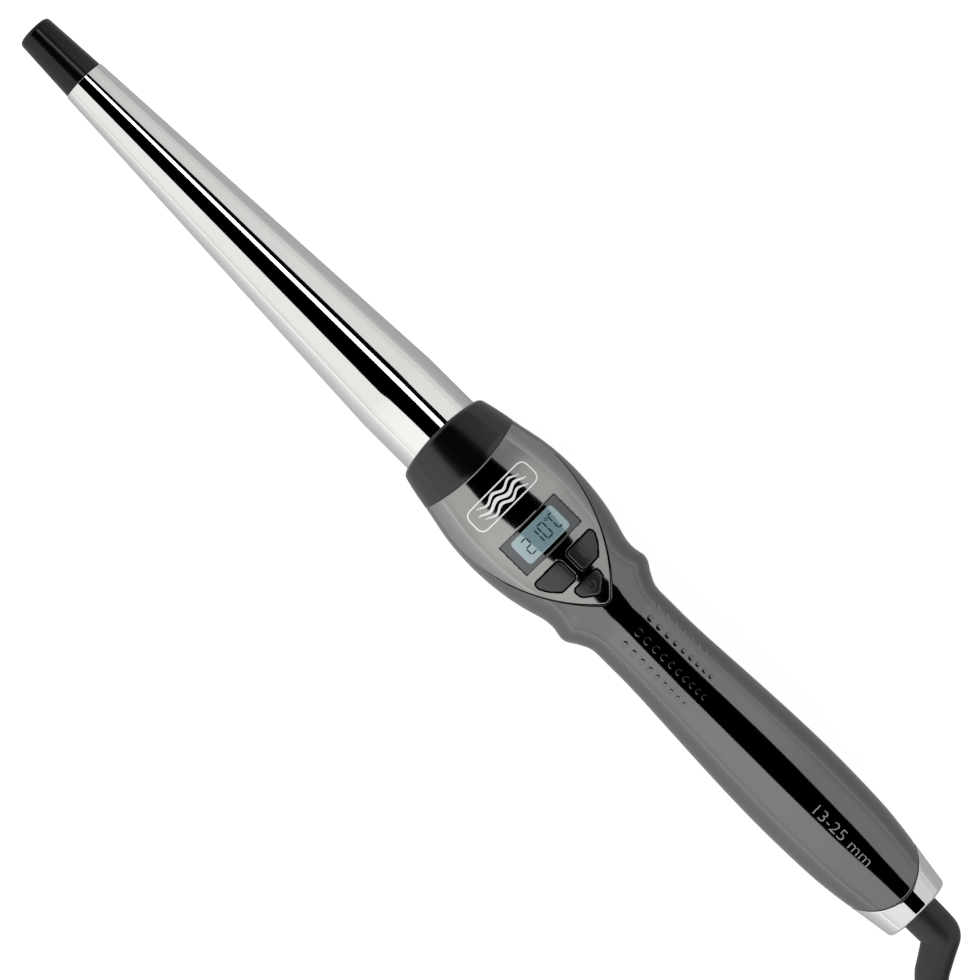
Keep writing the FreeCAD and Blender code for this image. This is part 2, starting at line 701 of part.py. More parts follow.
export("collar", make_collar([outer_top, outer_bottom], lip_halves))
export("handle_top", make_handle_top(outer_top, inner_top, under_panel))
bottom = make_handle_bottom(outer_bottom, inner_bottom)
carriers = outer_bottom.common(group(board_posts() + grip_cradles())).cut(under_table())
export("handle_bottom", joined([bottom, carriers]))
export("panel", make_panel(outer_top, under_panel))
export("display_lens", make_lens(outer_top, under_panel))
export("lcd_glass", make_lcd_glass())
export("lcd_holder", make_lcd_holder())
export("connector_strips", group(make_connector_strips()))
export("control_board", make_board())
export("board_screws", group(make_board_screws()))
export("chips", group(make_chips()))
export("switches", group(make_switches()))
for button in ("up", "down", "power"):
    export(f"button_{button}", make_button(button, crown))
export("grip_board", make_grip_board())
export("triac", make_triac())
export("film_capacitor", make_film_capacitor())
export("resistor", make_resistor())
export("shell_screws", group(make_shell_screws()))

export("ferrule", make_ferrule([outer_top, outer_bottom]))
export("swivel_core", make_swivel_core())
export("slip_rings", group(make_slip_rings()))
export("brush_holder", make_brush_holder())
export("brushes", group(make_brushes()))
export("boot", make_boot(), on_axis=False)
export("cord_lead", tube([behind(*p) for p in LEAD_ROUTE], CORD_R), on_axis=False)
export("cord_hank", make_hank(), on_axis=False)
export("cord_tail", tube([behind(*p) for p in TAIL_ROUTE], CORD_R), on_axis=False)
export("hank_tie", make_tie(), on_axis=False)
export("plug_body", make_plug_body(), on_axis=False)
export("plug_pins", group(make_plug_pins()), on_axis=False)
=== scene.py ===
"""Look of a clamp-less conical curling wand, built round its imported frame.

Sizes are in millimetres about the wand's own axis; a piece is brought to metres and lifted to the
height of that axis when its mesh is finished. +X runs along the wand to the cord, +Z up through
the control panel.
"""
from __future__ import annotations

import json
import logging
import math
from bisect import bisect_right
from collections.abc import Callable, Sequence
from dataclasses import dataclass, field
from enum import Enum

import bmesh
import bpy
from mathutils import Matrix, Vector


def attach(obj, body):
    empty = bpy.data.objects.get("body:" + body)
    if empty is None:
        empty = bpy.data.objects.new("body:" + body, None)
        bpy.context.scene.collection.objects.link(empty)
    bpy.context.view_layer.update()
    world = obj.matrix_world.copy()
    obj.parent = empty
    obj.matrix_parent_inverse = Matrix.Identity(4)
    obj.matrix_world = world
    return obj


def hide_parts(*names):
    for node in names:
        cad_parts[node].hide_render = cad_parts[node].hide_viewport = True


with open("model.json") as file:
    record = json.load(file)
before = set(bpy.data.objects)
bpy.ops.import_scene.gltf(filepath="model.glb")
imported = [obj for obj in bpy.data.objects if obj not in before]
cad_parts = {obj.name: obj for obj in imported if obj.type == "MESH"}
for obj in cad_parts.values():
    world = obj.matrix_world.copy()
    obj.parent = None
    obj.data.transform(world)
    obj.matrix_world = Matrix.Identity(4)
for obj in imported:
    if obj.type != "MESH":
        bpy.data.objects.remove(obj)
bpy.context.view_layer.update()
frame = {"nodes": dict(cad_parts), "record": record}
LOG = logging.getLogger("curling_wand")

MM = 0.001
AXIS_Z = 18.5
WELD, SLIVER = 1e-4, 1e-5
PRINT_RISE = 0.03
SETTLE = 4  # rounds in which a point on a bowed seam finds its place
WAND, CORD_END = "wand", "cord_end"
BMesh, Object, Material = bmesh.types.BMesh, bpy.types.Object, bpy.types.Material
Triple = tuple[float, float, float]
Outline = Sequence[tuple[float, float]]
Place = Callable[[float, float], Vector]


class Side(Enum):
    """The two sides of the wand, seen from above with the tip to the left."""

    UP = 1
    DOWN = -1


# ---------------- shader sockets
class Signal:
    """A node's output, so that shader maths reads as arithmetic."""

    def __init__(self, bench: "Bench", socket: bpy.types.NodeSocket) -> None:
        """Wraps a socket of the bench's tree."""
        self.bench = bench
        self.socket = socket

    def _math(self, operation: str, first: object, second: object) -> "Signal":
        """Adds one Math node."""
        return self.bench.node("ShaderNodeMath", {"operation": operation}, {0: first, 1: second})

    def __add__(self, other: object) -> "Signal":
        """Sum."""
        return self._math("ADD", self, other)

    __radd__ = __add__

    def __sub__(self, other: object) -> "Signal":
        """Difference."""
        return self._math("SUBTRACT", self, other)

    def __rsub__(self, other: object) -> "Signal":
        """Difference, reflected."""
        return self._math("SUBTRACT", other, self)

    def __mul__(self, other: object) -> "Signal":
        """Product."""
        return self._math("MULTIPLY", self, other)

    __rmul__ = __mul__

    def beyond(self, start: float) -> "Signal":
        """Powers of ten that the value is past a start, 0 before it."""
        return self._math("LOGARITHM", self._math("MAXIMUM", self, start) * (1 / start), 10.0)


class Bench:
    """One material's or world's node tree while it is wired up."""

    def __init__(self, tree: bpy.types.NodeTree) -> None:
        """Clears the tree."""
        self.tree = tree
        tree.nodes.clear()

    def node(self, kind: str, settings: dict | None = None, inputs: dict | None = None,
             out: int | str = 0) -> Signal:
        """Adds a node.

        Args:
            kind: The node's type name.
            settings: Attributes that are set before its sockets.
            inputs: Socket index or name to a value or a Signal.
            out: Which output to hand back.

        Returns:
            The chosen output as a Signal.
        """
        made = self.tree.nodes.new(kind)
        for name, value in (settings or {}).items():
            setattr(made, name, value)
        for name, value in (inputs or {}).items():
            if isinstance(value, Signal):
                self.tree.links.new(value.socket, made.inputs[name])
            else:
                made.inputs[name].default_value = value
        return Signal(self, made.outputs[out]) if made.outputs else None

    def place(self, scale: Sequence[float] = (1, 1, 1)) -> Signal:
        """Object coordinates, stretched by scale."""
        here = self.node("ShaderNodeTexCoord", out="Object")
        return self.node("ShaderNodeMapping", {}, {"Vector": here, "Scale": tuple(scale)})

    def noise(self, size_mm: float, detail: float = 3.0, stretch: Sequence[float] = (1, 1, 1)) -> Signal:
        """Soft noise whose blots are about size_mm across, from 0 to 1."""
        return self.node("ShaderNodeTexNoise", {}, {"Vector": self.place(stretch), "Scale": 1 / (size_mm * MM),
                                                    "Detail": detail})

    def slide(self, value: Signal, start: float, end: float, low: float, high: float) -> Signal:
        """Eases from low at start to high at end."""
        return self.node("ShaderNodeMapRange", {"interpolation_type": "SMOOTHSTEP"},
                         {"Value": value, "From Min": start, "From Max": end, "To Min": low, "To Max": high})

    def mix(self, share: Signal, first: Sequence[float], second: Sequence[float]) -> Signal:
        """Blends two colours."""
        return self.node("ShaderNodeMix", {"data_type": "RGBA"}, {0: share, 6: (*first, 1), 7: (*second, 1)}, 2)

    def finish(self, surface: Signal, kind: str = "Material") -> None:
        """Joins the surface to the tree's output."""
        self.node(f"ShaderNodeOutput{kind}", {}, {"Surface": surface})

    def bump(self, height: Signal, depth_mm: float) -> Signal:
        """A bump of that depth."""
        return self.node("ShaderNodeBump", {}, {"Height": height, "Distance": depth_mm * MM, "Strength": 1.0})


def new_material(name: str) -> tuple[Material, Bench]:
    """A blank material, and the bench to wire it on."""
    made = bpy.data.materials.new(name)
    made.use_nodes = True
    return made, Bench(made.node_tree)


def grey(value: float) -> Triple:
    """A neutral linear colour."""
    return (value, value, value)


@dataclass(frozen=True)
class Finish:
    """A moulded, plated or coated surface.

    Attributes:
        name: Material name.
        colour: Linear base colour.
        shade: A second colour that drifts over the first.
        metallic: 0 for plastics, 1 for plated metal.
        roughness: Mean roughness.
        drift: How far the roughness wanders.
        drift_mm: Size of that wandering.
        grain_mm: Size of the surface grain, 0 for none.
        grain_depth: Depth of the grain in millimetres.
        coat: Clear-coat weight.
        ior: Index of refraction.
        stretch: Grain stretch along X, Y and Z.
    """

    name: str
    colour: Triple
    shade: Triple
    metallic: float = 0.0
    roughness: float = 0.4
    drift: float = 0.05
    drift_mm: float = 12.0
    grain_mm: float = 0.0
    grain_depth: float = 0.0
    coat: float = 0.0
    ior: float = 1.5
    stretch: Triple = (1, 1, 1)

    def make(self) -> Material:
        """Builds the material, once."""
        made = bpy.data.materials.get(self.name)
        if made:
            return made
        made, bench = new_material(self.name)
        wander = bench.noise(self.drift_mm)
        sockets = {
            "Base Color": bench.mix(bench.noise(self.drift_mm * 1.7), self.colour, self.shade),
            "Roughness": (wander - 0.5) * (2 * self.drift) + self.roughness,
            "Metallic": self.metallic,
            "Coat Weight": self.coat,
            "Coat Roughness": 0.05,
            "IOR": self.ior,
        }
        if self.grain_mm:
            sockets["Normal"] = bench.bump(bench.noise(self.grain_mm, 2.0, self.stretch), self.grain_depth)
        self.close(bench, sockets)
        return made

    def close(self, bench: Bench, sockets: dict) -> None:
        """Adds the shader and the output."""
        bench.finish(bench.node("ShaderNodeBsdfPrincipled", {}, sockets))


@dataclass(frozen=True)
class GlowingFinish(Finish):
    """A pale surface with a glow of emission added over its lighting; on the badge's print this glow is painted
    light.
    """

    glow: Triple = (0.2, 0.4, 0.5)
    glow_strength: float = 0.1

    def close(self, bench: Bench, sockets: dict) -> None:
        """Adds the glow's emission to the shader."""
        lit = {**sockets, "Emission Color": (*self.glow, 1), "Emission Strength": self.glow_strength}
        super().close(bench, lit)


@dataclass(frozen=True)
class StrapFinish(Finish):
    """Looped fabric of a hook-and-loop strap."""

    def close(self, bench: Bench, sockets: dict) -> None:
        """Adds rows of loops to the shader."""
        weave = bench.node("ShaderNodeTexWave", {"bands_direction": "X"},
                           {"Vector": bench.place(), "Scale": 220.0, "Distortion": 3.0}, "Fac")
        super().close(bench, {**sockets, "Normal": bench.bump(weave, 0.12)})


BARREL_PLATE = Finish("barrel_plate", (0.93, 0.925, 0.91), (0.90, 0.895, 0.885), 1.0, 0.045, 0.02, 9.0,
                      0.35, 0.0006, stretch=(3.0, 0.4, 0.4))
FERRULE_PLATE = Finish("ferrule_plate", grey(0.88), (0.85, 0.85, 0.86), 1.0, 0.05, 0.02, 6.0)
SMOKE_GLOSS = Finish("smoke_gloss", (0.216, 0.215, 0.213), (0.204, 0.203, 0.202), 1.0, 0.07, 0.02, 14.0,
                     0.5, 0.0004)
PANEL_GLOSS = Finish("panel_gloss", (0.415, 0.41, 0.40), (0.39, 0.386, 0.378), 1.0, 0.10, 0.02, 9.0,
                     0.18, 0.0010)
LENS_SMOKE = Finish("lens_smoke", (0.150, 0.155, 0.160), (0.140, 0.146, 0.152), 1.0, 0.05, 0.01, 9.0)
LCD_PALE = GlowingFinish("lcd_pale", (0.26, 0.40, 0.43), (0.24, 0.37, 0.41), 0.0, 0.07, 0.02, 5.0,
                         ior=2.8, glow=(0.32, 0.52, 0.57), glow_strength=0.20)
LCD_INK = Finish("lcd_ink", (0.030, 0.055, 0.065), (0.022, 0.042, 0.050), 0.0, 0.25, 0.02, 2.0)
HEAT_BLACK = Finish("heat_black", grey(0.0022), grey(0.0012), 0.0, 0.24, 0.03, 7.0,
                    0.22, 0.0012, ior=1.68)
TIP_BLACK = Finish("tip_black", grey(0.0022), grey(0.0012), 0.0, 0.19, 0.02, 5.0,
                   0.2, 0.0008, ior=1.46)
BUTTON_BLACK = Finish("button_black", grey(0.020), grey(0.014), 0.0, 0.30, 0.04, 3.0,
                      0.14, 0.0015, ior=1.75)
ICON_GREY = Finish("icon_grey", (0.105, 0.105, 0.108), (0.09, 0.09, 0.094), 0.0, 0.5, 0.03, 1.0)
SILVER_INK = Finish("silver_ink", grey(0.72), (0.66, 0.66, 0.67), 0.35, 0.38, 0.05, 0.8)
# The badge's white print glows with emission: painted light that makes the ink brighter than its lighting.
BADGE_INK_AND_GLOW = GlowingFinish("badge_ink_and_painted_glow", grey(0.90), grey(0.84), 0.0, 0.42, 0.04, 0.9,
                          glow=grey(1.0), glow_strength=0.38)
BOOT_RUBBER = Finish("boot_rubber", grey(0.030), grey(0.024), 0.0, 0.36, 0.05, 5.0,
                     0.16, 0.003, ior=2.15)
CORD_SHEATH = Finish("cord_sheath", grey(0.030), grey(0.023), 0.0, 0.38, 0.05, 9.0,
                     0.2, 0.003, ior=1.7)
TIE_LOOP = StrapFinish("tie_loop", (0.014, 0.014, 0.015), (0.010, 0.010, 0.011), 0.0, 0.85, 0.05, 3.0)
PLUG_BLACK = Finish("plug_black", (0.020, 0.020, 0.021), (0.015, 0.015, 0.016), 0.0, 0.45, 0.05, 6.0,
                    0.3, 0.010)
PIN_NICKEL = Finish("pin_nickel", (0.74, 0.71, 0.65), (0.68, 0.65, 0.60), 1.0, 0.18, 0.05, 2.0)

SLOT_FINISH = {
    "tip_plastic": TIP_BLACK,
    "barrel_metal": BARREL_PLATE,
    "spreader_metal": Finish("spreader_raw", (0.60, 0.61, 0.62), (0.52, 0.53, 0.54), 1.0, 0.34, 0.08, 6.0,
                             0.3, 0.01, stretch=(0.1, 3, 3)),
    "ceramic": Finish("ceramic_body", (0.80, 0.77, 0.71), (0.74, 0.70, 0.64), 0.0, 0.6, 0.08, 3.0, 0.2, 0.01),
    "heat_film": Finish("amber_film", (0.50, 0.22, 0.03), (0.40, 0.16, 0.02), 0.0, 0.18, 0.05, 4.0, 1.5, 0.02,
                        coat=0.5),
    "copper_metal": Finish("tinned_strip", (0.72, 0.55, 0.34), (0.62, 0.45, 0.26), 1.0, 0.28, 0.06, 2.0),
    "seat_plastic": Finish("seat_mineral", (0.030, 0.028, 0.026), (0.022, 0.021, 0.020), 0.0, 0.55, 0.06, 3.0,
                           0.3, 0.02),
    "steel": Finish("zinc_steel", (0.56, 0.57, 0.58), (0.46, 0.47, 0.49), 1.0, 0.26, 0.07, 1.5, 0.2, 0.006),
    "collar_plastic": HEAT_BLACK,
    "handle_plastic": SMOKE_GLOSS,
    "panel_plastic": PANEL_GLOSS,
    "lens_plastic": LENS_SMOKE,
    "lcd_glass": LCD_PALE,
    "holder_plastic": Finish("light_guide", (0.82, 0.82, 0.78), (0.76, 0.76, 0.72), 0.0, 0.4, 0.05, 3.0, 0.4, 0.01),
    "strip_rubber": Finish("contact_rubber", (0.60, 0.57, 0.60), grey(0.10), 0.0, 0.6, 0.05, 0.5),
    "circuit_board": Finish("solder_mask", (0.02, 0.13, 0.05), (0.015, 0.10, 0.04), 0.0, 0.3, 0.06, 2.0, 0.5, 0.01,
                            coat=0.4),
    "component_black": Finish("chip_moulding", grey(0.020), grey(0.03), 0.0, 0.5, 0.06, 1.0,
                              0.1, 0.004),
    "capacitor_case": Finish("capacitor_amber", (0.60, 0.32, 0.03), (0.5, 0.26, 0.02), 0.0, 0.3, 0.06, 3.0,
                             0.8, 0.02),
    "resistor_body": Finish("resistor_lacquer", (0.10, 0.18, 0.14), (0.08, 0.15, 0.11), 0.0, 0.4, 0.06, 1.0,
                            0.3, 0.01),
    "button_rubber": BUTTON_BLACK,
    "lead_sleeve": Finish("silicone_sleeve", (0.72, 0.68, 0.58), (0.64, 0.60, 0.50), 0.0, 0.5, 0.05, 2.0, 0.3, 0.01),
    "ferrule_metal": FERRULE_PLATE,
    "core_plastic": Finish("core_moulding", (0.03, 0.03, 0.032), (0.022, 0.022, 0.024), 0.0, 0.45, 0.06, 3.0,
                           0.2, 0.006),
    "ring_brass": Finish("turned_brass", (0.76, 0.55, 0.22), (0.68, 0.48, 0.19), 1.0, 0.2, 0.06, 1.0, 0.2, 0.003),
    "boot_rubber": BOOT_RUBBER,
    "cord_sheath": CORD_SHEATH,
    "tie_fabric": TIE_LOOP,
    "plug_rubber": PLUG_BLACK,
    "pin_metal": PIN_NICKEL,
}


# ---------------- mesh workshop
def cleaned(bm: BMesh) -> BMesh:
    """Welds what meets, drops slivers and turns the faces outwards."""
    bmesh.ops.remove_doubles(bm, verts=bm.verts, dist=WELD)
    bmesh.ops.dissolve_degenerate(bm, edges=bm.edges, dist=SLIVER)
    bmesh.ops.recalc_face_normals(bm, faces=bm.faces)
    return bm


def grid(columns: int, rows: int, place: Place, wrapped: bool = False) -> BMesh:
    """A sheet of quads laid over a surface.

    Args:
        columns: Quads along the first direction.
        rows: Quads along the second.
        place: Gives a point in millimetres for two shares from 0 to 1.
        wrapped: True if the sheet closes on itself or on a pole.

    Returns:
        The sheet as a bmesh, in millimetres.
    """
    bm = bmesh.new()
    bmesh.ops.create_grid(bm, x_segments=columns, y_segments=rows, size=1.0)
    for vert in bm.verts:
        vert.co = place(min(1, max(0, (vert.co.x + 1) / 2)), min(1, max(0, (vert.co.y + 1) / 2)))
    return cleaned(bm) if wrapped else bm


def to_mesh(bm: BMesh, name: str, lift: float = 0.0) -> bpy.types.Mesh:
    """Turns a bmesh in millimetres, which is used up, into a mesh in metres."""
    bmesh.ops.translate(bm, verts=bm.verts, vec=(0, 0, lift))
    bmesh.ops.scale(bm, verts=bm.verts, vec=(MM, MM, MM))
    mesh = bpy.data.meshes.new(name)
    bm.to_mesh(mesh)
    bm.free()
    return mesh


def shown(name: str, data: bpy.types.ID) -> Object:
    """Puts an object with that data in the scene."""
    made = bpy.data.objects.new(name, data)
    bpy.context.scene.collection.objects.link(made)
    return made


def merged(sheets: Sequence[BMesh], weld: bool = True) -> BMesh:
    """Puts several bmeshes in one, and welds those that meet.

    Args:
        sheets: The bmeshes, which are used up.
        weld: True if shared borders become one.

    Returns:
        The joined bmesh.
    """
    whole = bmesh.new()
    for sheet in sheets:
        spare = bpy.data.meshes.new("spare")
        sheet.to_mesh(spare)
        sheet.free()
        whole.from_mesh(spare)
        bpy.data.meshes.remove(spare)
    if weld:
        bmesh.ops.remove_doubles(whole, verts=whole.verts, dist=1e-3)
        bmesh.ops.recalc_face_normals(whole, faces=whole.faces)
    return whole


def softened(corners: Outline, radius: float, steps: int = 5, closed: bool = False) -> list[tuple[float, float]]:
    """Rounds an outline's corners.

    Args:
        corners: The outline's corners.
        radius: Largest rounding, less where a side is short.
        steps: Points on each round corner, less one.
        closed: True if the last corner joins the first.

    Returns:
        The rounded outline's points.
    """
    points = [Vector(c) for c in corners]
    count = len(points)
    made: list[Vector] = [] if closed else [points[0]]
    for i in range(0 if closed else 1, count if closed else count - 1):
        here = points[i]
        back, ahead = points[i - 1] - here, points[(i + 1) % count] - here
        turn = math.pi - back.angle(ahead)
        reach = min(radius * math.tan(turn / 2), 0.49 * back.length, 0.49 * ahead.length)
        start, end = here + back.normalized() * reach, here + ahead.normalized() * reach
        for k in range(steps + 1):
            share = k / steps
            made.append(start.lerp(here, share).lerp(here.lerp(end, share), share))
    if not closed:
        made.append(points[-1])
    return [(p.x, p.y) for p in made]


def outward(points: Outline, k: int, middle: Vector) -> Vector:
    """The unit vector square to a closed outline at its point k, away from the middle."""
    along = (Vector(points[(k + 1) % len(points)]) - Vector(points[k - 1])).normalized()
    out = Vector((along.y, -along.x))
    return -out if out.dot(Vector(points[k]) - middle) < 0 else out


def prism(outline: Outline, low: float, high: float) -> BMesh:
    """An upright prism over an outline."""
    bm = bmesh.new()
    face = bm.faces.new([bm.verts.new((x, y, low)) for x, y in outline])
    up = bmesh.ops.extrude_face_region(bm, geom=[face])
    bmesh.ops.translate(bm, verts=[g for g in up["geom"] if isinstance(g, bmesh.types.BMVert)],
                        vec=(0, 0, high - low))
    bmesh.ops.recalc_face_normals(bm, faces=bm.faces)
    return bm


def turned(outline: Outline, steps: int, y: float = 0.0, z: float = 0.0) -> BMesh:
    """A solid turned about a line along X.

    Args:
        outline: (x, radius) points.
        steps: Steps round the full turn.
        y: The line's Y.
        z: The line's Z.

    Returns:
        The closed solid, in millimetres.
    """
    bm = bmesh.new()
    verts = [bm.verts.new((x, y, z + max(r, 0.0))) for x, r in outline]
    edges = [bm.edges.new(pair) for pair in zip(verts, verts[1:])]
    bmesh.ops.spin(bm, geom=verts + edges, cent=(0, y, z), axis=(1, 0, 0), angle=2 * math.pi, steps=steps,
                   use_merge=True, use_duplicate=False)
    return cleaned(bm)


@dataclass
class Workshop:
    """Finishes meshes and hands them to the frame."""

    made: list[str] = field(default_factory=list)

    def piece(self, name: str, bm: BMesh, finish: Finish, slot: str, body: str, nodes: Sequence[str] = (),
              lift: float = AXIS_Z, crease: float = 35.0) -> Object:
        """Turns a bmesh into a piece of the object.

        Args:
            name: The piece's name.
            bm: Its shape, in millimetres.
            finish: Its finish.
            slot: The record's material slot; not used.
            body: The body that it rides on.
            nodes: The frame's nodes that it stands for.
            lift: How far it is lifted, in millimetres.
            crease: Edges sharper than this many degrees stay sharp.

        Returns:
            The finished object.
        """
        mesh = to_mesh(bm, name, lift)
        mesh.shade_smooth()
        mesh.set_sharp_from_angle(angle=math.radians(crease))
        return self.hand_over(shown(name, mesh), finish, body, nodes)

    def hand_over(self, made: Object, finish: Finish, body: str,
                  nodes: Sequence[str] = ()) -> Object:
        """Dresses an object and ties it to its body."""
        made.data.materials.append(finish.make())
        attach(made, body)
        if nodes:
            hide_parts(*nodes)
        self.made.append(made.name)
        LOG.info("%s rides on %s", made.name, body)
        return made

    def wall(self, made: Object, thickness: float) -> None:
        """Gives a sheet a wall inwards, and makes it final."""
        modifier = made.modifiers.new("wall", "SOLIDIFY")
        modifier.thickness = thickness * MM
        modifier.offset = -1.0
        modifier.use_even_offset = True
        self.settle(made)

    def settle(self, made: Object) -> None:
        """Applies an object's modifiers."""
        deps = bpy.context.evaluated_depsgraph_get()
        old = made.data
        new = bpy.data.meshes.new_from_object(made.evaluated_get(deps), depsgraph=deps)
        made.modifiers.clear()
        made.data = new
        new.name = old.name
        bpy.data.meshes.remove(old)

    def pierce(self, made: Object, cutters: Sequence[BMesh]) -> None:
        """Cuts holes through a piece with closed shapes about the wand's axis, which are used up."""
        for k, bm in enumerate(cutters):
            mesh = to_mesh(bm, f"cutter_{k}", AXIS_Z)
            tool = shown(mesh.name, mesh)
            modifier = made.modifiers.new("hole", "BOOLEAN")
            modifier.object = tool
            modifier.operation = "DIFFERENCE"
            modifier.solver = "EXACT"
            self.settle(made)
            bpy.data.objects.remove(tool)
            bpy.data.meshes.remove(mesh)


SHOP = Workshop()


# ---------------- outer shape
@dataclass(frozen=True)
class Station:
    """A section across the wand: where it is, half its width, its height above and depth below."""

    x: float
    half: float
    top: float
    bottom: float


@dataclass(frozen=True)
class Seam:
    """A seam that bows along X: an upright cylinder's skin, crossing the middle at x."""

    x: float
    radius: float
    sign: int = 1

    def at(self, y: float, grow: float = 0.0) -> float:
        """The seam's x at a distance y from the middle."""
        radius = self.radius + grow
        bow = math.sqrt(max(radius * radius - y * y, 0.0))
        return self.x - self.sign * (self.radius - bow)


@dataclass
class BodyShape:
    """The flowing outer shape from the collar to the ferrule."""

    stations: tuple[Station, ...] = tuple(Station(*row) for row in (
        (-15.2, 13.6, 13.6, 13.4), (-8.0, 15.45, 15.3, 15.2), (0.0, 16.95, 16.8, 16.9), (8.0, 18.5, 18.1, 18.7),
        (16.0, 19.15, 18.6, 19.3), (24.0, 18.9, 18.4, 19.1), (31.0, 18.0, 17.6, 18.2), (37.0, 16.6, 16.4, 17.3),
        (41.5, 15.35, 15.4, 16.5), (45.0, 15.2, 14.5, 16.2), (48.5, 15.7, 13.6, 16.2), (52.0, 13.9, 12.9, 15.1),
        (55.5, 12.2, 12.55, 13.9), (60.0, 11.9, 12.45, 13.4), (66.0, 11.9, 12.6, 13.6),
        (74.0, 12.1, 13.0, 14.5), (84.0, 12.65, 13.7, 16.0), (95.0, 13.25, 14.3, 17.4),
        (107.0, 13.8, 14.8, 18.5), (119.0, 14.1, 15.0, 19.0), (131.0, 13.97, 14.7, 18.5),
        (143.0, 13.4, 13.9, 16.9), (154.0, 12.0, 12.4, 14.0), (160.0, 11.05, 11.3, 12.0),
        (166.5, 10.1, 10.2, 10.2),
    ))
    collar_front: Seam = Seam(-14.4, 59.5, -1)
    collar_back: Seam = Seam(0.5, 53.7)
    tongue: Seam = Seam(160.5, 13.4)
    gap: float = 0.08

    def sizes(self, x: float) -> Triple:
        """Half width, height and depth at x, flowing through the stations."""
        s = self.stations
        i = min(max(bisect_right([t.x for t in s], x) - 1, 0), len(s) - 2)
        a, b = s[i], s[i + 1]
        span = b.x - a.x
        t = (x - a.x) / span
        made = []
        for key in ("half", "top", "bottom"):
            rise = [self._slope(i + k, key) * span for k in (0, 1)]
            v0, v1 = getattr(a, key), getattr(b, key)
            made.append(v0 * (2 * t ** 3 - 3 * t * t + 1) + rise[0] * (t ** 3 - 2 * t * t + t)
                        + v1 * (3 * t * t - 2 * t ** 3) + rise[1] * (t ** 3 - t * t))
        return made[0], made[1], made[2]

    def _slope(self, i: int, key: str) -> float:
        """Slope through a station, weighted towards its nearer neighbour."""
        s = self.stations
        if i in (0, len(s) - 1):
            a, b = (s[0], s[1]) if i == 0 else (s[-2], s[-1])
            return (getattr(b, key) - getattr(a, key)) / (b.x - a.x)
        before, here, after = (getattr(s[i + k], key) for k in (-1, 0, 1))
        d0, d1 = s[i].x - s[i - 1].x, s[i + 1].x - s[i].x
        return ((here - before) / d0 * d1 + (after - here) / d1 * d0) / (d0 + d1)

    def skin(self, x: float, angle: float, depth: float = 0.0) -> Vector:
        """A point of the skin; the angle runs from +Y over the top."""
        half, top, bottom = self.sizes(x)
        tall = top if math.sin(angle) >= 0 else bottom
        z = (tall - depth) * math.sin(angle)
        return Vector((x, (half - depth) * math.cos(angle), max(z, -AXIS_Z)))

    def height(self, x: float, y: float) -> float:
        """How high the skin is over (x, y)."""
        half, top, _ = self.sizes(x)
        return top * math.sqrt(max(1 - (y / half) ** 2, 0.0))

    def on_top(self, x: float, y: float, rise: float = 0.0) -> Vector:
        """The point of the upper skin over (x, y), raised by rise."""
        return Vector((x, y, self.height(x, y) + rise))


BODY = BodyShape()


# ---------------- heated end
@dataclass
class HeatedEnd:
    """Tip cap and conical barrel."""

    barrel_r: float = 12.5
    barrel_tip_r: float = 6.45
    wall: float = 0.6
    front: float = -147.3
    cone_end: float = -29.5
    back: float = -1.0
    tip_length: float = 18.9

    def build(self) -> list[Object]:
        """Builds the pieces of the heated end."""
        return [
            SHOP.piece("barrel_tube", self.barrel(), BARREL_PLATE, "barrel_metal", WAND, ["barrel"], crease=20),
            SHOP.piece("cool_tip", self.tip_cap(), TIP_BLACK, "tip_plastic", WAND, ["tip_cap"]),
        ]

    def barrel(self) -> BMesh:
        """The plated cone with its short straight base."""
        w, lip = self.wall, 0.12
        slope = (self.barrel_r - self.barrel_tip_r) / (self.cone_end - self.front)
        outer = [(self.front, self.barrel_tip_r - lip), (self.front + lip, self.barrel_tip_r)]
        steps = 48
        for k in range(1, steps + 1):
            x = self.front + (self.cone_end - self.front) * k / steps
            outer.append((x, self.barrel_tip_r + slope * (x - self.front)))
        outer += [(self.cone_end + 9.0, self.barrel_r), (self.back, self.barrel_r)]
        inner = [(self.back, self.barrel_r - w), (self.cone_end, self.barrel_r - w),
                 (self.front, self.barrel_tip_r - w)]
        return turned(outer + inner + outer[:1], 160)

    def tip_cap(self) -> BMesh:
        """The cool tip: a blunt cone with a round nose, and the spigot that fills the barrel's mouth."""
        back = self.front - 0.3
        nose = back - self.tip_length
        body = softened([(nose, 0), (nose, 5.1), (back, 6.15), (back, self.barrel_tip_r - self.wall - 0.1)], 1.5, 8)
        body = [p for p in body if p[0] < back - 0.01]
        rim = [(back - 0.15, 6.13), (back, 5.98), (back, self.barrel_tip_r - self.wall - 0.1),
               (back + 8, self.barrel_tip_r - self.wall - 0.1), (back + 8, 0)]
        return turned(body + rim, 128)


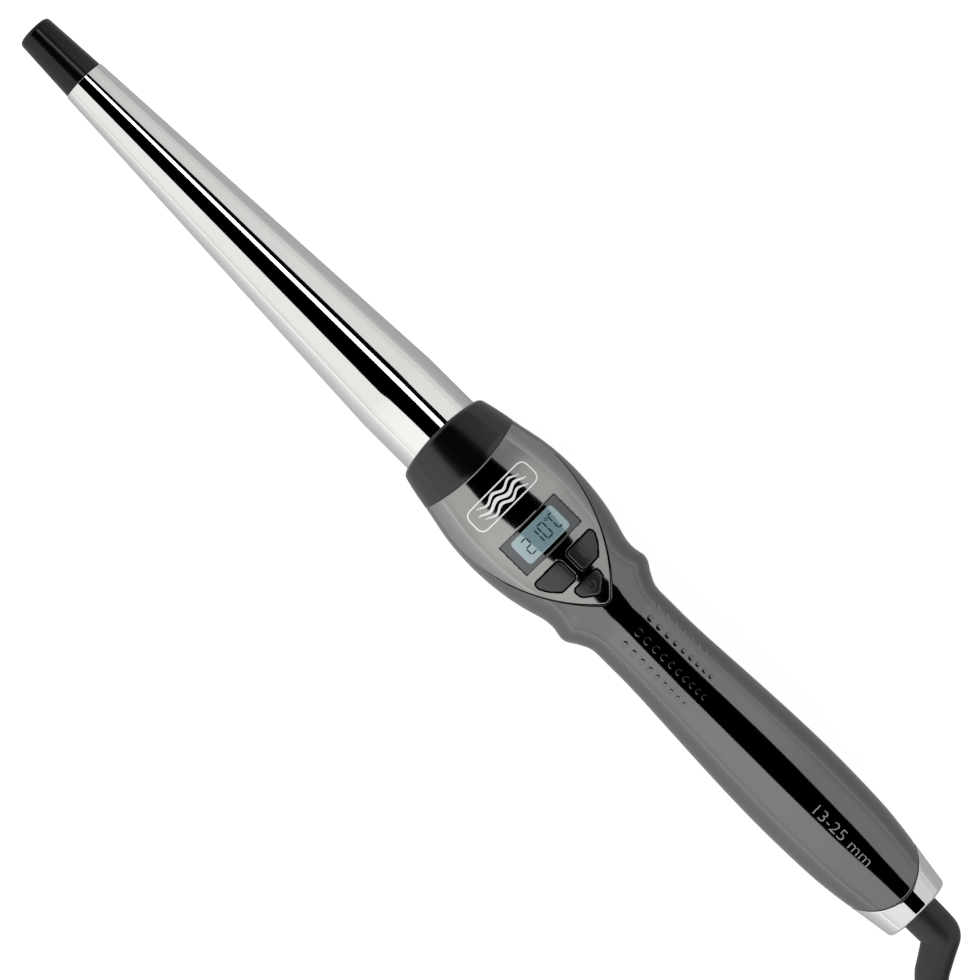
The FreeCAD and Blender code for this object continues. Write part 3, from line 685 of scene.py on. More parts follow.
# ---------------- collar and ferrule
@dataclass
class EndRings:
    """The satin heat collar in front and the plated ferrule behind the handle."""

    collar_bore: float = 12.8
    ferrule_bore: float = 6.0
    around: int = 192

    def build(self) -> None:
        """Builds both rings."""
        SHOP.piece("collar", self.collar(), HEAT_BLACK, "collar_plastic", WAND, ["collar"])
        SHOP.piece("ferrule", self.ferrule(), FERRULE_PLATE, "ferrule_metal", WAND, ["ferrule"], crease=40)

    def ring(self, front: Callable[[float], float], back: Callable[[float], float],
             rows: Sequence[tuple[float, float, float | None]], bore: float) -> BMesh:
        """A ring that follows the body's skin between two seams.

        Args:
            front: x of the front seam for a distance from the middle.
            back: The same for the back seam.
            rows: Share of the way back, an extra x, and the depth under the skin, or None at the bore.
            bore: Radius of the hole.

        Returns:
            The closed ring.
        """
        def place(u: float, v: float) -> Vector:
            """Lays one point of the ring."""
            share, extra, depth = rows[round(u * (len(rows) - 1))]
            angle = 2 * math.pi * (v % 1.0)
            y = BODY.sizes(front(0))[0] * math.cos(angle)
            for _ in range(SETTLE - 1):
                x = front(y) + share * (back(y) - front(y)) + extra
                point = BODY.skin(x, angle, depth or 0.0)
                y = point.y
            if depth is None:
                return Vector((x, bore * math.cos(angle), bore * math.sin(angle)))
            return point

        return grid(len(rows) - 1, self.around, place, True)

    def collar(self) -> BMesh:
        """Open at the front round the barrel, with a soft front edge."""
        soft, crisp = 1.2, 0.25
        rows: list[tuple[float, float, float | None]] = [(0, 0, None)]
        rows += [(0, soft * (1 - math.cos(math.radians(15 * k))), soft * (1 - math.sin(math.radians(15 * k))))
                 for k in range(7)]
        rows += [(s / 8, soft * (1 - s / 8) - crisp * s / 8, 0) for s in range(1, 9)]
        lip = 2.55
        rows += [(1, -crisp / 2, 0.06), (1, 0, crisp), (1, 0, lip), (1, 1.3, lip), (1, 1.3, None)]
        rows += [(0.5, 0, None), (0, 0, None)]
        return self.ring(BODY.collar_front.at, BODY.collar_back.at, rows, self.collar_bore)

    def ferrule(self) -> BMesh:
        """Cupped in front under the handle's tongue, and turned in at the end round the cord's boot."""
        end = BODY.stations[-1].x
        crisp, soft = 0.25, 0.9
        rows: list[tuple[float, float, float | None]] = [(0, 0, 1.5), (0, 0, crisp), (0, crisp / 2, 0.06)]
        rows += [(s / 16, crisp * (1 - s / 16) - soft * s / 16, 0) for s in range(17)]
        rows += [(1, -soft * (1 - math.sin(math.radians(15 * k))), soft * (1 - math.cos(math.radians(15 * k))))
                 for k in range(1, 7)]
        rows += [(1, 0, None), (1, -2.0, None), (1, -2.0, 1.6), (0.5, -1.0, 1.5), (0, 0, 1.5)]
        return self.ring(lambda y: BODY.tongue.at(y, BODY.gap), lambda y: end, rows, self.ferrule_bore)


# ---------------- control panel
@dataclass
class Panel:
    """The shield-shaped panel with its display and the holes for the buttons."""

    arc_r: float = 50.5
    arc_x: float = 11.7
    arc_y: float = 32.7
    nose_r: float = 2.0
    front_share: float = 0.94
    edge: float = 0.35
    thick: float = 1.2
    glass_thick: float = 0.4
    lens_gap: float = 0.10
    lens: Triple = (19.0, 29.5, 10.25)
    glass: Triple = (20.3, 28.1, 7.6)

    @property
    def nose_x(self) -> float:
        """Middle of the round nose, which touches both long arcs."""
        return self.arc_x + math.sqrt((self.arc_r - self.nose_r) ** 2 - self.arc_y ** 2)

    @property
    def nose_share(self) -> float:
        """Sine of the arc's angle where the nose takes over."""
        return (self.nose_x - self.arc_x) / (self.arc_r - self.nose_r)

    @property
    def tip_x(self) -> float:
        """Where the shield ends."""
        return self.nose_x + self.nose_r

    def half(self, x: float, grow: float = 0.0) -> float:
        """Half the shield's width at x, larger all round by grow."""
        if x <= self.arc_x:
            return self.front_share * BODY.sizes(x)[0] + grow
        if x > self.arc_x + (self.arc_r + grow) * self.nose_share:
            return math.sqrt(max((self.nose_r + grow) ** 2 - (x - self.nose_x) ** 2, 0.0))
        return math.sqrt((self.arc_r + grow) ** 2 - (x - self.arc_x) ** 2) - self.arc_y

    def inside(self, x: float, y: float) -> float:
        """How far a point is inside the shield's outline."""
        if x <= self.arc_x:
            return self.half(x) - abs(y)
        reach = math.hypot(x - self.arc_x, abs(y) + self.arc_y)
        if x - self.arc_x > reach * self.nose_share:
            return self.nose_r - math.hypot(x - self.nose_x, y)
        return self.arc_r - reach

    def sheet(self) -> BMesh:
        """The shield laid on the body's skin, its edge turned down."""
        def place(u: float, v: float) -> Vector:
            """Lays one point of the panel."""
            across = math.sin((v - 0.5) * math.pi)
            y = across * 16.0
            for _ in range(SETTLE):
                start = BODY.collar_back.at(y, BODY.gap)
                x = start + (self.tip_x - start) * math.sin(u * math.pi / 2)
                y = across * self.half(x)
            short = self.edge - min(max(self.inside(x, y), 0.0), self.edge)
            return BODY.on_top(x, y, math.sqrt(self.edge ** 2 - short ** 2) - self.edge)

        return grid(150, 110, place, True)

    def pane(self, x0: float, x1: float, half: float, rise: float, soft: float) -> BMesh:
        """A rectangular pane that follows the skin, with softened corners."""
        middle, wide = (x0 + x1) / 2, (x1 - x0) / 2

        def place(u: float, v: float) -> Vector:
            """Lays one point of the pane."""
            y = (2 * v - 1) * half
            pull = max(abs(y) - (half - soft), 0.0)
            reach = wide - soft + math.sqrt(max(soft * soft - pull * pull, 0.0))
            return BODY.on_top(middle + (2 * u - 1) * reach, y, rise)

        return grid(28, 56, place, True)

    def build(self, buttons: "Buttons") -> None:
        """Builds the panel, the lens and the display."""
        panel = SHOP.piece("panel", self.sheet(), PANEL_GLOSS, "panel_plastic", WAND, ["panel"])
        SHOP.wall(panel, self.thick)
        x0, x1, half = self.lens
        opening = prism([(x0, -half), (x1, -half), (x1, half), (x0, half)], 3.0, 27.0)
        SHOP.pierce(panel, [opening, *buttons.cutters()])
        gap = self.lens_gap
        lens = SHOP.piece("display_lens", self.pane(x0 + gap, x1 - gap, half - gap, -0.02, 0.15), LENS_SMOKE,
                          "lens_plastic", WAND, ["display_lens"])
        SHOP.wall(lens, self.thick)
        g0, g1, wide = self.glass
        glass = SHOP.piece("lcd_window", self.pane(g0, g1, wide, 0.02, 1.1), LCD_PALE, "lcd_glass", WAND,
                           ["lcd_glass"])
        SHOP.wall(glass, self.glass_thick)


@dataclass
class Digits:
    """Seven-segment figures on the display, read with the cord to the right hand's side."""

    height: float = 4.3
    width: float = 1.95
    stroke: float = 0.42
    middle_x: float = 24.2
    pitch: float = 3.0
    first_y: float = -5.3
    segments: dict[str, str] = field(default_factory=lambda: {"2": "abged", "1": "bc", "0": "abcdef", "C": "adef"})

    def bar(self, a: tuple[float, float], b: tuple[float, float], width: float) -> BMesh:
        """A stroke from a to b, each (right, up) on the display, laid on the glass."""
        start, end = Vector(a), Vector(b)
        along = (end - start).normalized()
        across = Vector((-along.y, along.x)) * (width / 2)
        start, end = start + along * 0.08, end - along * 0.08

        def place(u: float, v: float) -> Vector:
            """Lays one point of the stroke."""
            taper = min(1.0, 0.25 + 4 * min(u, 1 - u))
            spot = start.lerp(end, u) + across * (2 * v - 1) * taper
            return BODY.on_top(self.middle_x - spot.y, spot.x, 0.045)

        return grid(8, 2, place)

    def figure(self, name: str, right: float, share: float = 1.0) -> list[BMesh]:
        """The strokes of one figure whose left edge is at right, narrower by share."""
        w, h = self.width * share, self.height / 2
        ends = {
            "a": ((0, h), (w, h)), "b": ((w, h), (w, 0)), "c": ((w, 0), (w, -h)), "d": ((0, -h), (w, -h)),
            "e": ((0, 0), (0, -h)), "f": ((0, h), (0, 0)), "g": ((0, 0), (w, 0)),
        }
        return [self.bar((right + a[0], a[1]), (right + b[0], b[1]), self.stroke)
                for a, b in (ends[key] for key in self.segments[name])]

    def build(self) -> None:
        """Builds the reading: two hundred and ten degrees C."""
        strokes = []
        for k, name in enumerate("210"):
            strokes += self.figure(name, self.first_y + k * self.pitch)
        degree = self.first_y + 3 * self.pitch - 0.2
        corners = [(degree, 1.5), (degree + 0.7, 1.5), (degree + 0.7, 2.2), (degree, 2.2), (degree, 1.5)]
        strokes += [self.bar(a, b, 0.25) for a, b in zip(corners, corners[1:])]
        strokes += self.figure("C", degree + 1.25, 0.72)
        SHOP.piece("lcd_digits", merged(strokes, False), LCD_INK, "lcd_glass", WAND)


# ---------------- buttons
@dataclass(frozen=True)
class Button:
    """One cap: its name, which is also its body's, its outline on the panel and its corners' rounding."""

    name: str
    corners: tuple[tuple[float, float], ...]
    soft: float

    def outline(self, grow: float = 0.0) -> list[tuple[float, float]]:
        """The rounded outline, larger all round by grow."""
        points = softened(self.corners, self.soft, 6, True)
        if not grow:
            return points
        middle = self.middle()
        return [tuple(Vector(point) + outward(points, k, middle) * grow) for k, point in enumerate(points)]

    def middle(self) -> Vector:
        """Middle of the cap."""
        count = len(self.corners)
        return Vector((sum(x for x, _ in self.corners) / count, sum(y for _, y in self.corners) / count))

    def reach(self, outline: Outline, angle: float) -> float:
        """How far the outline is from the middle in one direction."""
        middle, ray = self.middle(), Vector((math.cos(angle), math.sin(angle)))
        best = 0.0
        for a, b in zip(outline, [*outline[1:], outline[0]]):
            p, q = Vector(a) - middle, Vector(b) - middle
            side_p, side_q = ray.x * p.y - ray.y * p.x, ray.x * q.y - ray.y * q.x
            if side_p * side_q <= 0 and side_p != side_q:
                hit = p.lerp(q, side_p / (side_p - side_q))
                best = max(best, hit.dot(ray))
        return best


UP_CAP = ((32.45, 1.25), (39.0, 1.25), (39.0, 6.6), (36.6, 8.9), (34.2, 10.3), (32.45, 10.3))


@dataclass
class Buttons:
    """The three press buttons, each with its printed sign."""

    proud: float = 0.5
    edge: float = 0.55
    deep: float = 5.5
    gap: float = 0.42
    sign_line: float = 0.3
    around: int = 96
    caps: tuple[Button, ...] = (
        Button("button_up", UP_CAP, 1.3),
        Button("button_down", tuple((x, -y) for x, y in UP_CAP), 1.3),
        Button("button_power", ((40.9, -4.3), (43.6, -3.9), (46.6, 0.0), (43.6, 3.9), (40.9, 4.3)), 1.5),
    )

    def cutters(self) -> list[BMesh]:
        """Prisms that cut the caps' holes."""
        return [prism(cap.outline(self.gap), 5.0, 25.0) for cap in self.caps]

    def cap(self, cap: Button) -> BMesh:
        """A cap whose crown follows the panel, with a soft rim and straight sides."""
        outline = cap.outline()
        middle = cap.middle()
        angles = [2 * math.pi * k / self.around for k in range(self.around)]
        reaches = [cap.reach(outline, a) for a in angles]

        def place(u: float, v: float) -> Vector:
            """Lays one point of the cap."""
            k = round(u * self.around) % self.around
            ray = Vector((math.cos(angles[k]), math.sin(angles[k])))
            step = round(v * 16)
            if step < 8:
                spot = middle + ray * (reaches[k] - self.edge) * (step / 8)
                return BODY.on_top(spot.x, spot.y, self.proud)
            if step < 15:
                turn = math.radians(15 * (step - 8))
                spot = middle + ray * (reaches[k] - self.edge * (1 - math.sin(turn)))
                return BODY.on_top(spot.x, spot.y, self.proud - self.edge * (1 - math.cos(turn)))
            spot = middle + ray * (reaches[k] if step == 15 else 0.0)
            return Vector((spot.x, spot.y, BODY.height(*middle) - self.deep))

        return grid(self.around, 16, place, True)

    def stroke(self, points: Outline) -> BMesh:
        """A printed line through points of the crown."""
        lines = [Vector(p) for p in points]

        def place(u: float, v: float) -> Vector:
            """Lays one point of the line."""
            where = u * (len(lines) - 1)
            k = min(int(where), len(lines) - 2)
            before, after = lines[max(k - 1, 0)], lines[min(k + 2, len(lines) - 1)]
            along = (lines[k + 1] - lines[k] + 0.5 * (after - before)).normalized()
            spot = lines[k].lerp(lines[k + 1], where - k) + Vector((-along.y, along.x)) * (v - 0.5) * self.sign_line
            return BODY.on_top(spot.x, spot.y, self.proud + 0.015)

        return grid((len(lines) - 1) * 2, 1, place)

    def build(self) -> None:
        """Builds the caps and their signs."""
        for cap in self.caps:
            SHOP.piece(cap.name, self.cap(cap), BUTTON_BLACK, "button_rubber", cap.name, [cap.name])
        for cap, side in zip(self.caps, (Side.UP, Side.DOWN)):
            x, y = 35.6, 5.4 * side.value
            tip = 1.15 * side.value
            corners = [(x - 1.2, y - tip), (x + 1.2, y - tip), (x, y + tip), (x - 1.2, y - tip)]
            lines = [self.stroke(pair) for pair in zip(corners, corners[1:])]
            SHOP.piece(f"{cap.name}_sign", merged(lines, False), ICON_GREY, "button_rubber", cap.name)
        x, y, r = 43.2, 0.0, 1.25
        arc = [(x + r * math.cos(math.radians(a)), y + r * math.sin(math.radians(a))) for a in range(-140, 141, 14)]
        lines = [self.stroke(arc), self.stroke([(x - 1.6, y), (x - 0.2, y)])]
        SHOP.piece("button_power_sign", merged(lines, False), ICON_GREY, "button_rubber", "button_power")


# ---------------- handle
@dataclass
class Handle:
    """The glossy upper shell, its grip domes and its printed mark.

    Attributes:
        panel: The panel that the shell leaves room for.
        wall: Thickness of the shell.
        split: Height of the border to the lower shell.
        gap: Room round the panel.
        dome_rows: Each row's lean from the top in degrees, number of domes, first x and bulge.
        dome_size: Width of a row's first dome.
        dome_pitch: From a row's first dome to its second.
        mark: The printed words.
        mark_at: Where they start.
        mark_size: Their length and height.
    """

    panel: Panel
    wall: float = 2.3
    split: float = 0.1
    gap: float = 0.3
    dome_rows: tuple[tuple[int, int, float, float], ...] = (
        (0, 10, 61.0, 0.13), (24, 9, 60.6, 0.32), (-24, 9, 60.6, 0.32), (48, 7, 60.0, 0.42), (-48, 7, 60.0, 0.42))
    dome_size: float = 1.05
    dome_pitch: float = 3.35
    mark: str = "13-25 mm"
    mark_at: tuple[float, float] = (126.8, -1.5)
    mark_size: tuple[float, float] = (20.4, 3.0)

    def half_shell(self, side: Side) -> list[BMesh]:
        """One side of the upper shell, from the panel's edge or the middle down to the split."""
        tip = self.panel.tip_x + self.gap

        def lay(x: float, inner: float, v: float) -> Vector:
            """Lays a point between the inner border and the split."""
            half, top, _ = BODY.sizes(x)
            start = math.acos(min(inner / half, 1.0))
            end = math.asin(self.split / top)
            return BODY.skin(x, start + (end - start) * v)

        def front(u: float, v: float) -> Vector:
            """Beside the panel."""
            y = 16.0
            for _ in range(SETTLE):
                start = BODY.collar_back.at(y, BODY.gap)
                x = start + (tip - start) * math.sin(u * math.pi / 2)
                inner = max(self.panel.half(x, self.gap), 0.0) if u < 1 else 0.0
                point = lay(x, inner, v)
                y = point.y
            return Vector((point.x, side.value * point.y, point.z))

        def rear(u: float, v: float) -> Vector:
            """Behind the panel, as far as the ferrule's seam."""
            y = 12.0 * v
            for _ in range(SETTLE):
                end = BODY.tongue.at(y, -BODY.gap)
                point = lay(tip + (end - tip) * u, 0.0, v)
                y = point.y
            return Vector((point.x, side.value * point.y, point.z))

        return [grid(120, 40, front), grid(200, 40, rear)]

    def domes(self) -> BMesh:
        """Rows of small domes on the grip, shrinking towards the cord, above and below."""
        bm = bmesh.new()
        for lean, count, first, bulge in self.dome_rows:
            x, size, pitch = first, self.dome_size, self.dome_pitch
            for _ in range(count):
                for over in (1, -1):
                    angle = over * math.radians(90 + lean)
                    spot = BODY.skin(x, angle, 0.55 * bulge * size)
                    ball = bmesh.ops.create_icosphere(bm, subdivisions=3, radius=size * 1.1)
                    bmesh.ops.scale(bm, verts=ball["verts"], vec=(1, 1, bulge))
                    turn = (spot - Vector((x, 0, 0))).to_track_quat("Z", "Y").to_matrix()
                    bmesh.ops.rotate(bm, verts=ball["verts"], cent=(0, 0, 0), matrix=turn)
                    bmesh.ops.translate(bm, verts=ball["verts"], vec=spot)
                x += pitch
                pitch *= 0.945
                size *= 0.955
        return bm

    def lettering(self) -> None:
        """Generic size marking, printed along the top of the grip."""
        curve = bpy.data.curves.new("size_mark", "FONT")
        curve.body = self.mark
        curve.resolution_u = 6
        curve.offset = -0.012
        helper = shown("size_mark_text", curve)
        deps = bpy.context.evaluated_depsgraph_get()
        mesh = bpy.data.meshes.new_from_object(helper.evaluated_get(deps))
        bpy.data.objects.remove(helper)
        bm = bmesh.new()
        bm.from_mesh(mesh)
        bpy.data.meshes.remove(mesh)
        bmesh.ops.remove_doubles(bm, verts=bm.verts, dist=1e-5)
        bmesh.ops.triangulate(bm, faces=bm.faces)
        for _ in range(4):
            long_edges = [e for e in bm.edges if e.calc_length() > 0.09]
            bmesh.ops.subdivide_edges(bm, edges=long_edges, cuts=1)
            bmesh.ops.triangulate(bm, faces=bm.faces)
        xs, ys = [v.co.x for v in bm.verts], [v.co.y for v in bm.verts]
        for vert in bm.verts:
            along = (vert.co.x - min(xs)) / (max(xs) - min(xs)) * self.mark_size[0]
            across = (vert.co.y - min(ys)) / (max(ys) - min(ys)) * self.mark_size[1]
            vert.co = BODY.on_top(self.mark_at[0] + along, self.mark_at[1] + across, PRINT_RISE)
        SHOP.piece("size_mark", bm, SILVER_INK, "handle_plastic", WAND)

    def build(self) -> None:
        """Builds the shell and everything on it."""
        sheets = self.half_shell(Side.UP) + self.half_shell(Side.DOWN)
        shell = SHOP.piece("handle_top", merged(sheets), SMOKE_GLOSS, "handle_plastic", WAND, ["handle_top"])
        SHOP.wall(shell, self.wall)
        SHOP.piece("grip_domes", self.domes(), SMOKE_GLOSS, "handle_plastic", WAND)
        self.lettering()


@dataclass
class Badge:
    """A capsule outline with three wavy strands of hair, printed across the panel."""

    x0: float = 6.5
    x1: float = 13.7
    half: float = 10.9
    corner: float = 2.6
    line: float = 0.38

    def frame_line(self) -> BMesh:
        """The capsule's outline."""
        corners = [(self.x0, -self.half), (self.x1, -self.half), (self.x1, self.half), (self.x0, self.half)]
        outer = softened(corners, self.corner, 8, True)
        dense = []
        for a, b in zip(outer, [*outer[1:], outer[0]]):
            steps = max(1, round(math.dist(a, b) / 0.6))
            dense += [tuple(Vector(a).lerp(Vector(b), k / steps)) for k in range(steps)]
        middle = Vector(((self.x0 + self.x1) / 2, 0))

        def place(u: float, v: float) -> Vector:
            """Lays one point of the outline."""
            k = round(u * len(dense)) % len(dense)
            spot = Vector(dense[k]) - outward(dense, k, middle) * self.line * v
            return BODY.on_top(spot.x, spot.y, PRINT_RISE)

        return grid(len(dense), 1, place, True)

    def strand(self, x: float, swing: float, reach: float, thick: float) -> BMesh:
        """One wavy strand that thins out at its ends."""
        def place(u: float, v: float) -> Vector:
            """Lays one point of the strand."""
            y = (2 * u - 1) * reach
            taper = math.sin(math.pi * min(max(u, 0.02), 0.98)) ** 0.5
            wave = swing * math.sin(y / reach * 2.5 * math.pi)
            return BODY.on_top(x + wave + (v - 0.5) * thick * taper, y, PRINT_RISE)

        return grid(90, 2, place)

    def build(self) -> None:
        """Builds the badge."""
        middle = (self.x0 + self.x1) / 2
        strands = [self.strand(middle + shift, 0.55, reach, thick)
                   for shift, reach, thick in ((-1.75, 7.4, 0.85), (0, 8.3, 1.1), (1.75, 7.4, 0.85))]
        SHOP.piece("badge_outline", self.frame_line(), BADGE_INK_AND_GLOW, "panel_plastic", WAND)
        SHOP.piece("badge_strands", merged(strands, False), BADGE_INK_AND_GLOW, "panel_plastic", WAND)


# ---------------- cord
@dataclass
class Winding:
    """The put-away cord: a hank of turns, wide at its end loops and drawn in by the tie."""

    x: float = 270.0
    y: float = -3.4
    loop_x: float = 40.0
    loop_r: float = 21.0
    waist: float = 6.0
    offsets: tuple[float, ...] = (3, -3, -3, 3, 3, -3)
    heights: tuple[float, ...] = (3.05, 3.05, 9.05, 9.05, 15.05, 15.05)
    per_turn: int = 36

    @property
    def side_r(self) -> float:
        """Radius of the hollow sides."""
        spread = self.loop_x ** 2 + self.waist ** 2 - self.loop_r ** 2
        return spread / (2 * (self.loop_r - self.waist))

    def at(self, turns: float) -> Triple:
        """A point of the cord after that many turns."""
        turn = min(int(turns), len(self.offsets) - 1)
        share = turns - turn
        after = min(turn + 1, len(self.offsets) - 1)
        step_from, step_over = 0.68, 0.32
        ease = min(max((share - step_from) / step_over, 0.0), 1.0)
        ease = ease * ease * (3 - 2 * ease)
        offset = self.offsets[turn] + ease * (self.offsets[after] - self.offsets[turn])
        height = self.heights[turn] + ease * (self.heights[after] - self.heights[turn])
        side_y = self.waist + self.side_r
        lean = math.atan2(side_y, self.loop_x)
        loop, side = self.loop_r, self.side_r
        quarter = math.pi / 2
        pieces = (
            (-self.loop_x, 0.0, loop, 1, -quarter, quarter - lean),
            (0.0, -side_y, side, -1, math.pi - lean, math.pi - 2 * lean),
            (self.loop_x, 0.0, loop, 1, lean - math.pi, 2 * (math.pi - lean)),
            (0.0, side_y, side, -1, -lean, math.pi - 2 * lean),
            (-self.loop_x, 0.0, loop, 1, lean, math.pi + quarter - lean),
        )
        along = share * sum(p[2] * p[5] for p in pieces)
        for cx, cy, radius, way, start, sweep in pieces:
            if along <= radius * sweep + 1e-9:
                break
            along -= radius * sweep
        angle = start + way * along / radius
        reach = radius + way * offset
        x, y = cx + reach * math.cos(angle), cy + reach * math.sin(angle)
        tight = math.exp(-((x / 10.0) ** 2))
        middle = sum(self.heights) / len(self.heights)
        return self.x + x, self.y + y * (1 - 0.085 * tight), middle + (height - middle) * (1 - 0.12 * tight)

    def points(self) -> list[Triple]:
        """Points along every turn."""
        turns = len(self.offsets)
        return [self.at(k / self.per_turn) for k in range(turns * self.per_turn + 1)]


@dataclass
class CordEnd:
    """Strain relief, mains cord with its put-away hank, tie and plug."""

    cord_r: float = 3.0
    boot_route: tuple[Triple, ...] = (
        (163.9, 0.0, 18.5), (169.0, 0.0, 18.5), (173.4, 0.0, 18.5), (175.8, 0.0, 18.5), (177.1, -2.1, 17.7),
        (179.6, -6.0, 16.2), (182.4, -10.5, 14.5), (189.0, -15.6, 11.1))
    boot_radii: tuple[float, ...] = (5.6, 5.6, 5.5, 5.3, 5.1, 4.85, 4.7, 3.9)
    lead_route: tuple[Triple, ...] = (
        (189.0, -15.6, 11.1), (197.8, -22.5, 6.6), (210.7, -26.8, 3.5), (221.0, -27.3, 3.05))
    tail_route: tuple[Triple, ...] = (
        (245.0, -19.6, 16.2), (268.0, -9.0, 24.4), (284.0, -8.2, 24.9))
    winding: Winding = field(default_factory=Winding)
    tie_width: float = 8.0
    plug_length: float = 34.0
    plug_width: float = 35.3
    plug_thick: float = 13.7
    pin_spacing: float = 18.6
    pin_length: float = 19.0
    pin_r: float = 1.93
    sleeve_r: float = 2.0
    sleeve_length: float = 10.0

    def curve(self, name: str, route: Sequence[Triple], bevel: float,
              radii: Sequence[float] | None = None) -> Object:
        """A round NURBS tube whose control points are the route's."""
        data = bpy.data.curves.new(name, "CURVE")
        data.dimensions = "3D"
        data.bevel_depth = bevel * MM
        data.bevel_resolution = 6
        data.use_fill_caps = True
        spline = data.splines.new("NURBS")
        spline.points.add(len(route) - 1)
        for k, (point, spot) in enumerate(zip(spline.points, route)):
            point.co = (*(value * MM for value in spot), 1.0)
            point.radius = radii[k] / bevel if radii else 1.0
        spline.order_u = 3
        spline.use_endpoint_u = True
        spline.resolution_u = 8
        return shown(name, data)

    def boot(self) -> Object:
        """The bent strain relief."""
        made = self.curve("boot", self.boot_route, self.boot_radii[0], self.boot_radii)
        made.data.bevel_resolution = 14
        made.data.splines[0].resolution_u = 12
        return SHOP.hand_over(made, BOOT_RUBBER, CORD_END, ["boot"])

    def tie(self) -> Object:
        """The strap round the waist of the hank."""
        w, tall = self.winding, 18.0
        half = w.waist + 2 * self.cord_r + 0.1
        loop = softened([(-half, 0.05), (half, 0.05), (half, tall), (-half, tall)], 2.4, 6, True)

        def place(u: float, v: float) -> Vector:
            """Lays one point of the strap."""
            y, z = loop[round(u * len(loop)) % len(loop)]
            return Vector((w.x + (v - 0.5) * self.tie_width, w.y + y, z))

        made = SHOP.piece("hank_tie", grid(len(loop), 8, place, True), TIE_LOOP, "tie_fabric", CORD_END,
                          ["hank_tie"], lift=0.0)
        SHOP.wall(made, 0.9)
        return made

    def plug(self) -> list[Object]:
        """The flat two-pin plug."""
        x0, y0, z0 = self.tail_route[-1]
        x0 += 0.2
        front, wide = x0 + self.plug_length, self.plug_width / 2
        corners = [(x0, -6.0), (x0 + 12.0, -9.0), (front - 8.0, -wide), (front, -wide), (front, wide),
                   (front - 8.0, wide), (x0 + 12.0, 9.0), (x0, 6.0)]
        outline = [(x, y0 + y) for x, y in softened(corners, 3.5, 5, True)]
        bm = prism(outline, z0 - self.plug_thick / 2, z0 + self.plug_thick / 2)
        rims = [e for e in bm.edges if abs(e.verts[0].co.z - e.verts[1].co.z) < 0.01]
        bmesh.ops.bevel(bm, geom=rims, offset=2.2, offset_type="OFFSET", affect="EDGES", segments=5, profile=0.5,
                        material=-1, clamp_overlap=True)
        body = SHOP.piece("plug_body", bm, PLUG_BLACK, "plug_rubber", CORD_END, ["plug_body"], lift=0.0)
        pins, sleeves = [], []
        for side in Side:
            y = y0 + side.value * self.pin_spacing / 2
            root, tip = front - 8, front + self.pin_length
            pin = softened([(root, 0), (root, self.pin_r), (tip, self.pin_r), (tip, 0)], 1.6)
            pins.append(turned(pin, 48, y, z0))
            root, tip = front - 1, front + self.sleeve_length
            sleeves.append(turned([(root, 1.8), (root, self.sleeve_r), (tip, self.sleeve_r), (tip, 1.8), (root, 1.8)],
                                  48, y, z0))
        return [body,
                SHOP.piece("plug_pins", merged(pins, False), PIN_NICKEL, "pin_metal", CORD_END, ["plug_pins"], 0.0),
                SHOP.piece("plug_pin_sleeves", merged(sleeves, False), PLUG_BLACK, "plug_rubber", CORD_END, lift=0.0)]

    def build(self) -> None:
        route = [*self.lead_route, *self.winding.points(), *self.tail_route]
        cord = self.curve("mains_cord", route, self.cord_r)
        SHOP.hand_over(cord, CORD_SHEATH, CORD_END, ["cord_lead", "cord_hank", "cord_tail"])
        on_cord = [self.boot(), self.tie(), *self.plug()]
        tuple(v * MM for v in self.lead_route[0])


# ---------------- inside
def dress_frame() -> None:
    """Gives every node of the frame its finish."""
    slots = {part["node"]: part["material_slot"] for part in frame["record"]["subparts"]}
    for name, node in frame["nodes"].items():
        finish = SLOT_FINISH[slots[name]]
        for slot in node.material_slots:
            slot.material = finish.make()


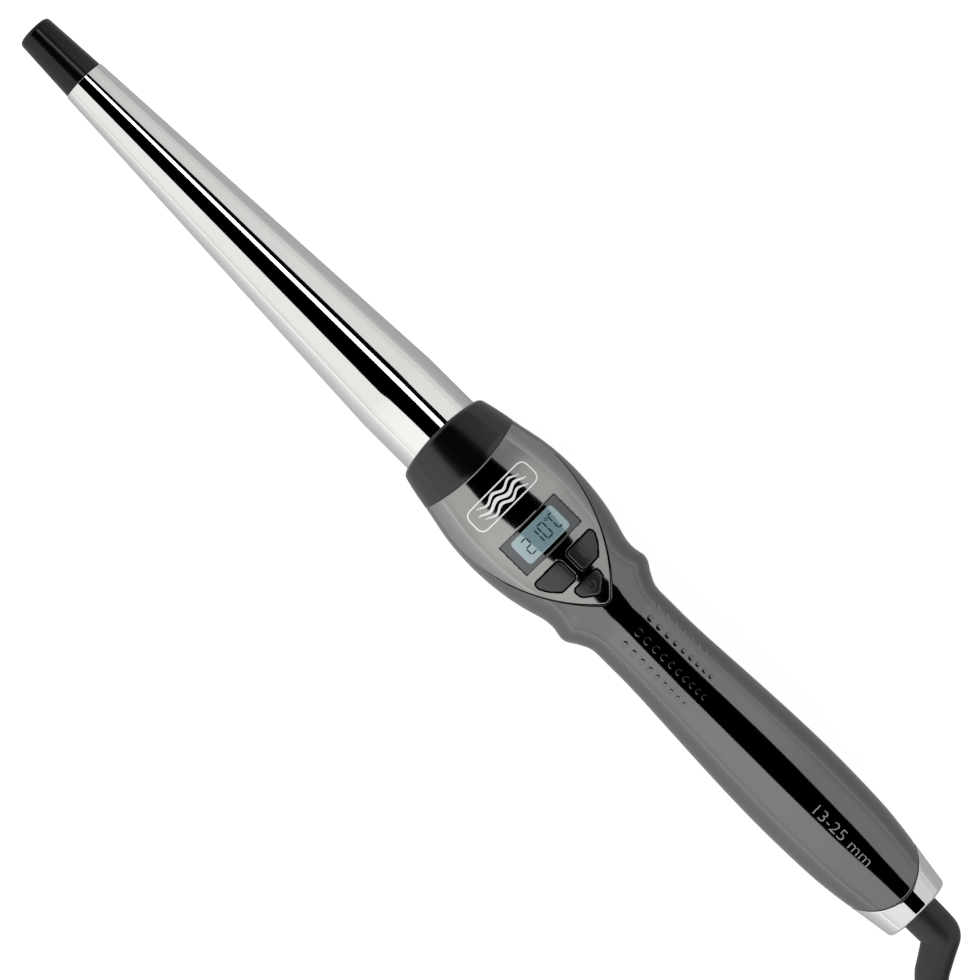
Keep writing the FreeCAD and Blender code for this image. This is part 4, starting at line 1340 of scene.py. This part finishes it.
# ---------------- studio
@dataclass
class Studio:
    """White table, pale tent with a dark opening overhead, and the camera that looks down through it."""

    camera_x: float = 6.53
    camera_y: float = -1.01
    camera_height: float = 1197.0
    turn: float = 44.854
    lens: float = 164.65
    card_height: float = 1.30
    card: tuple[tuple[float, float], ...] = (
        (-1.6, -0.77), (-0.23, -0.77), (-0.12, -0.61), (-0.05, -0.57), (0.11, -0.49), (0.43, -0.44),
        (0.76, -0.31), (1.6, -0.31), (1.6, 0.78), (0.76, 0.78), (0.43, 0.86), (0.10, 1.02), (-0.10, 0.93),
        (-0.23, 1.0), (-1.6, 1.03))

    def flat(self, name: str, corners: Outline, z: float) -> Object:
        """A level sheet of the set, in metres."""
        mesh = bpy.data.meshes.new(name)
        bm = bmesh.new()
        bm.faces.new([bm.verts.new((x, y, z)) for x, y in corners])
        bm.to_mesh(mesh)
        bm.free()
        made = shown(name, mesh)
        return made

    def table(self) -> None:
        """The pale table top: white to the eye, and in its reflections a painted glow that is dimmer close to the
        wand, a painted shade.
        """
        top = self.flat("table_top", ((-4, -4), (4, -4), (4, 4), (-4, 4)), -0.0003)
        made, bench = new_material("table_white")
        across = bench.node("ShaderNodeSeparateXYZ", {}, {0: bench.place()}, "Y")
        # Painted light: emission seen only in reflections, which grows with distance from the wand across Y; the dim
        # part near the wand is painted shade.
        painted_reflection_glow = (across * -1.0).beyond(0.02) * 0.27 + across.beyond(0.09) * 0.25
        painted_reflection_glow = painted_reflection_glow + bench.slide(across, 0.02, 0.06, 0.15, 0.09)
        paper = bench.node("ShaderNodeBsdfDiffuse", {}, {"Color": (0.82, 0.82, 0.82, 1)})
        far = bench.node("ShaderNodeEmission", {}, {"Color": (1, 1, 1, 1), "Strength": painted_reflection_glow})
        glow = bench.node("ShaderNodeEmission", {}, {"Color": (1, 1, 1, 1), "Strength": 0.84})
        mirrored, seen = (bench.node("ShaderNodeAddShader", {}, {0: paper, 1: light}) for light in (far, glow))
        eye = bench.node("ShaderNodeLightPath", out="Is Camera Ray")
        bench.finish(bench.node("ShaderNodeMixShader", {}, {0: eye, 1: mirrored, 2: seen}))
        top.data.materials.append(made)

    def opening(self) -> None:
        """The dark opening overhead."""
        card = self.flat("tent_opening", self.card, self.card_height)
        made, bench = new_material("opening_black")
        bench.finish(bench.node("ShaderNodeBsdfDiffuse", {}, {"Color": (0.0, 0.0, 0.0, 1)}))
        card.data.materials.append(made)
        card.visible_camera = False

    def tent(self) -> None:
        """The pale cloth all round: brighter on the near side, dimmer far off over the barrel."""
        world = bpy.data.worlds.new("tent")
        world.use_nodes = True
        bpy.context.scene.world = world
        bench = Bench(world.node_tree)
        here = bench.node("ShaderNodeTexCoord", out="Generated")
        x, y, z = (bench.node("ShaderNodeSeparateXYZ", {}, {0: here}, axis) for axis in "XYZ")
        near = bench.slide(x, -0.14, 0.0, 0.88, 1.0) - bench.slide(x, 0.05, 0.35, 0.0, 0.12)
        far = bench.slide(x, -0.36, -0.12, 0.34, 0.76) + bench.slide(x, -0.12, 0.0, 0.0, 0.05)
        far = far - bench.slide(x, 0.0, 0.1, 0.0, 0.12)
        share = bench.slide(y, -0.5, 0.5, 0.0, 1.0)
        low = bench.slide(z, 0.0, 0.35, 0.84, 1.0)
        cloth = (near + (far - near) * share) * low
        sky = bench.node("ShaderNodeBackground", {}, {"Color": (1, 0.995, 0.985, 1), "Strength": cloth})
        bench.finish(sky, "World")

    def strip(self, lit: Sequence[Object]) -> None:
        """A narrow light over the barrel, shielded from everything else.

        Args:
            lit: The pieces that it reaches.
        """
        data = bpy.data.lights.new("strip", "AREA")
        data.shape = "RECTANGLE"
        data.size, data.size_y = 0.34, 0.058
        data.energy = 0.15
        made = shown("strip", data)
        made.location = (-0.165, 0.105, 0.318)
        made.rotation_euler = (math.radians(-18.0), 0, 0)
        made.visible_camera = False
        reached = bpy.data.collections.new("strip_reaches")
        for piece in lit:
            reached.objects.link(piece)
        made.light_linking.receiver_collection = reached

    def camera(self) -> None:
        """Straight down over the panel."""
        data = bpy.data.cameras.new("camera")
        data.sensor_width = 36.0
        data.lens = self.lens
        data.clip_start, data.clip_end = 0.01, 20.0
        made = shown("camera", data)
        made.location = (self.camera_x * MM, self.camera_y * MM, (AXIS_Z + self.camera_height) * MM)
        made.rotation_euler = (0, 0, math.radians(self.turn))
        bpy.context.scene.camera = made

    def build(self) -> None:
        """Sets the studio up."""
        bpy.context.scene.view_settings.view_transform = "Standard"
        self.camera()
        self.table()
        self.opening()
        self.tent()


def main() -> None:
    """Builds the wand, piece by piece."""
    logging.basicConfig(level=logging.INFO, format="%(message)s")
    studio = Studio()
    studio.build()
    CordEnd().build()
    dress_frame()
    studio.strip(HeatedEnd().build())
    EndRings().build()
    panel, buttons = Panel(), Buttons()
    Handle(panel).build()
    panel.build(buttons)
    buttons.build()
    Digits().build()
    Badge().build()
    LOG.info("%d pieces", len(SHOP.made))


if __name__ == "__main__":
    main()
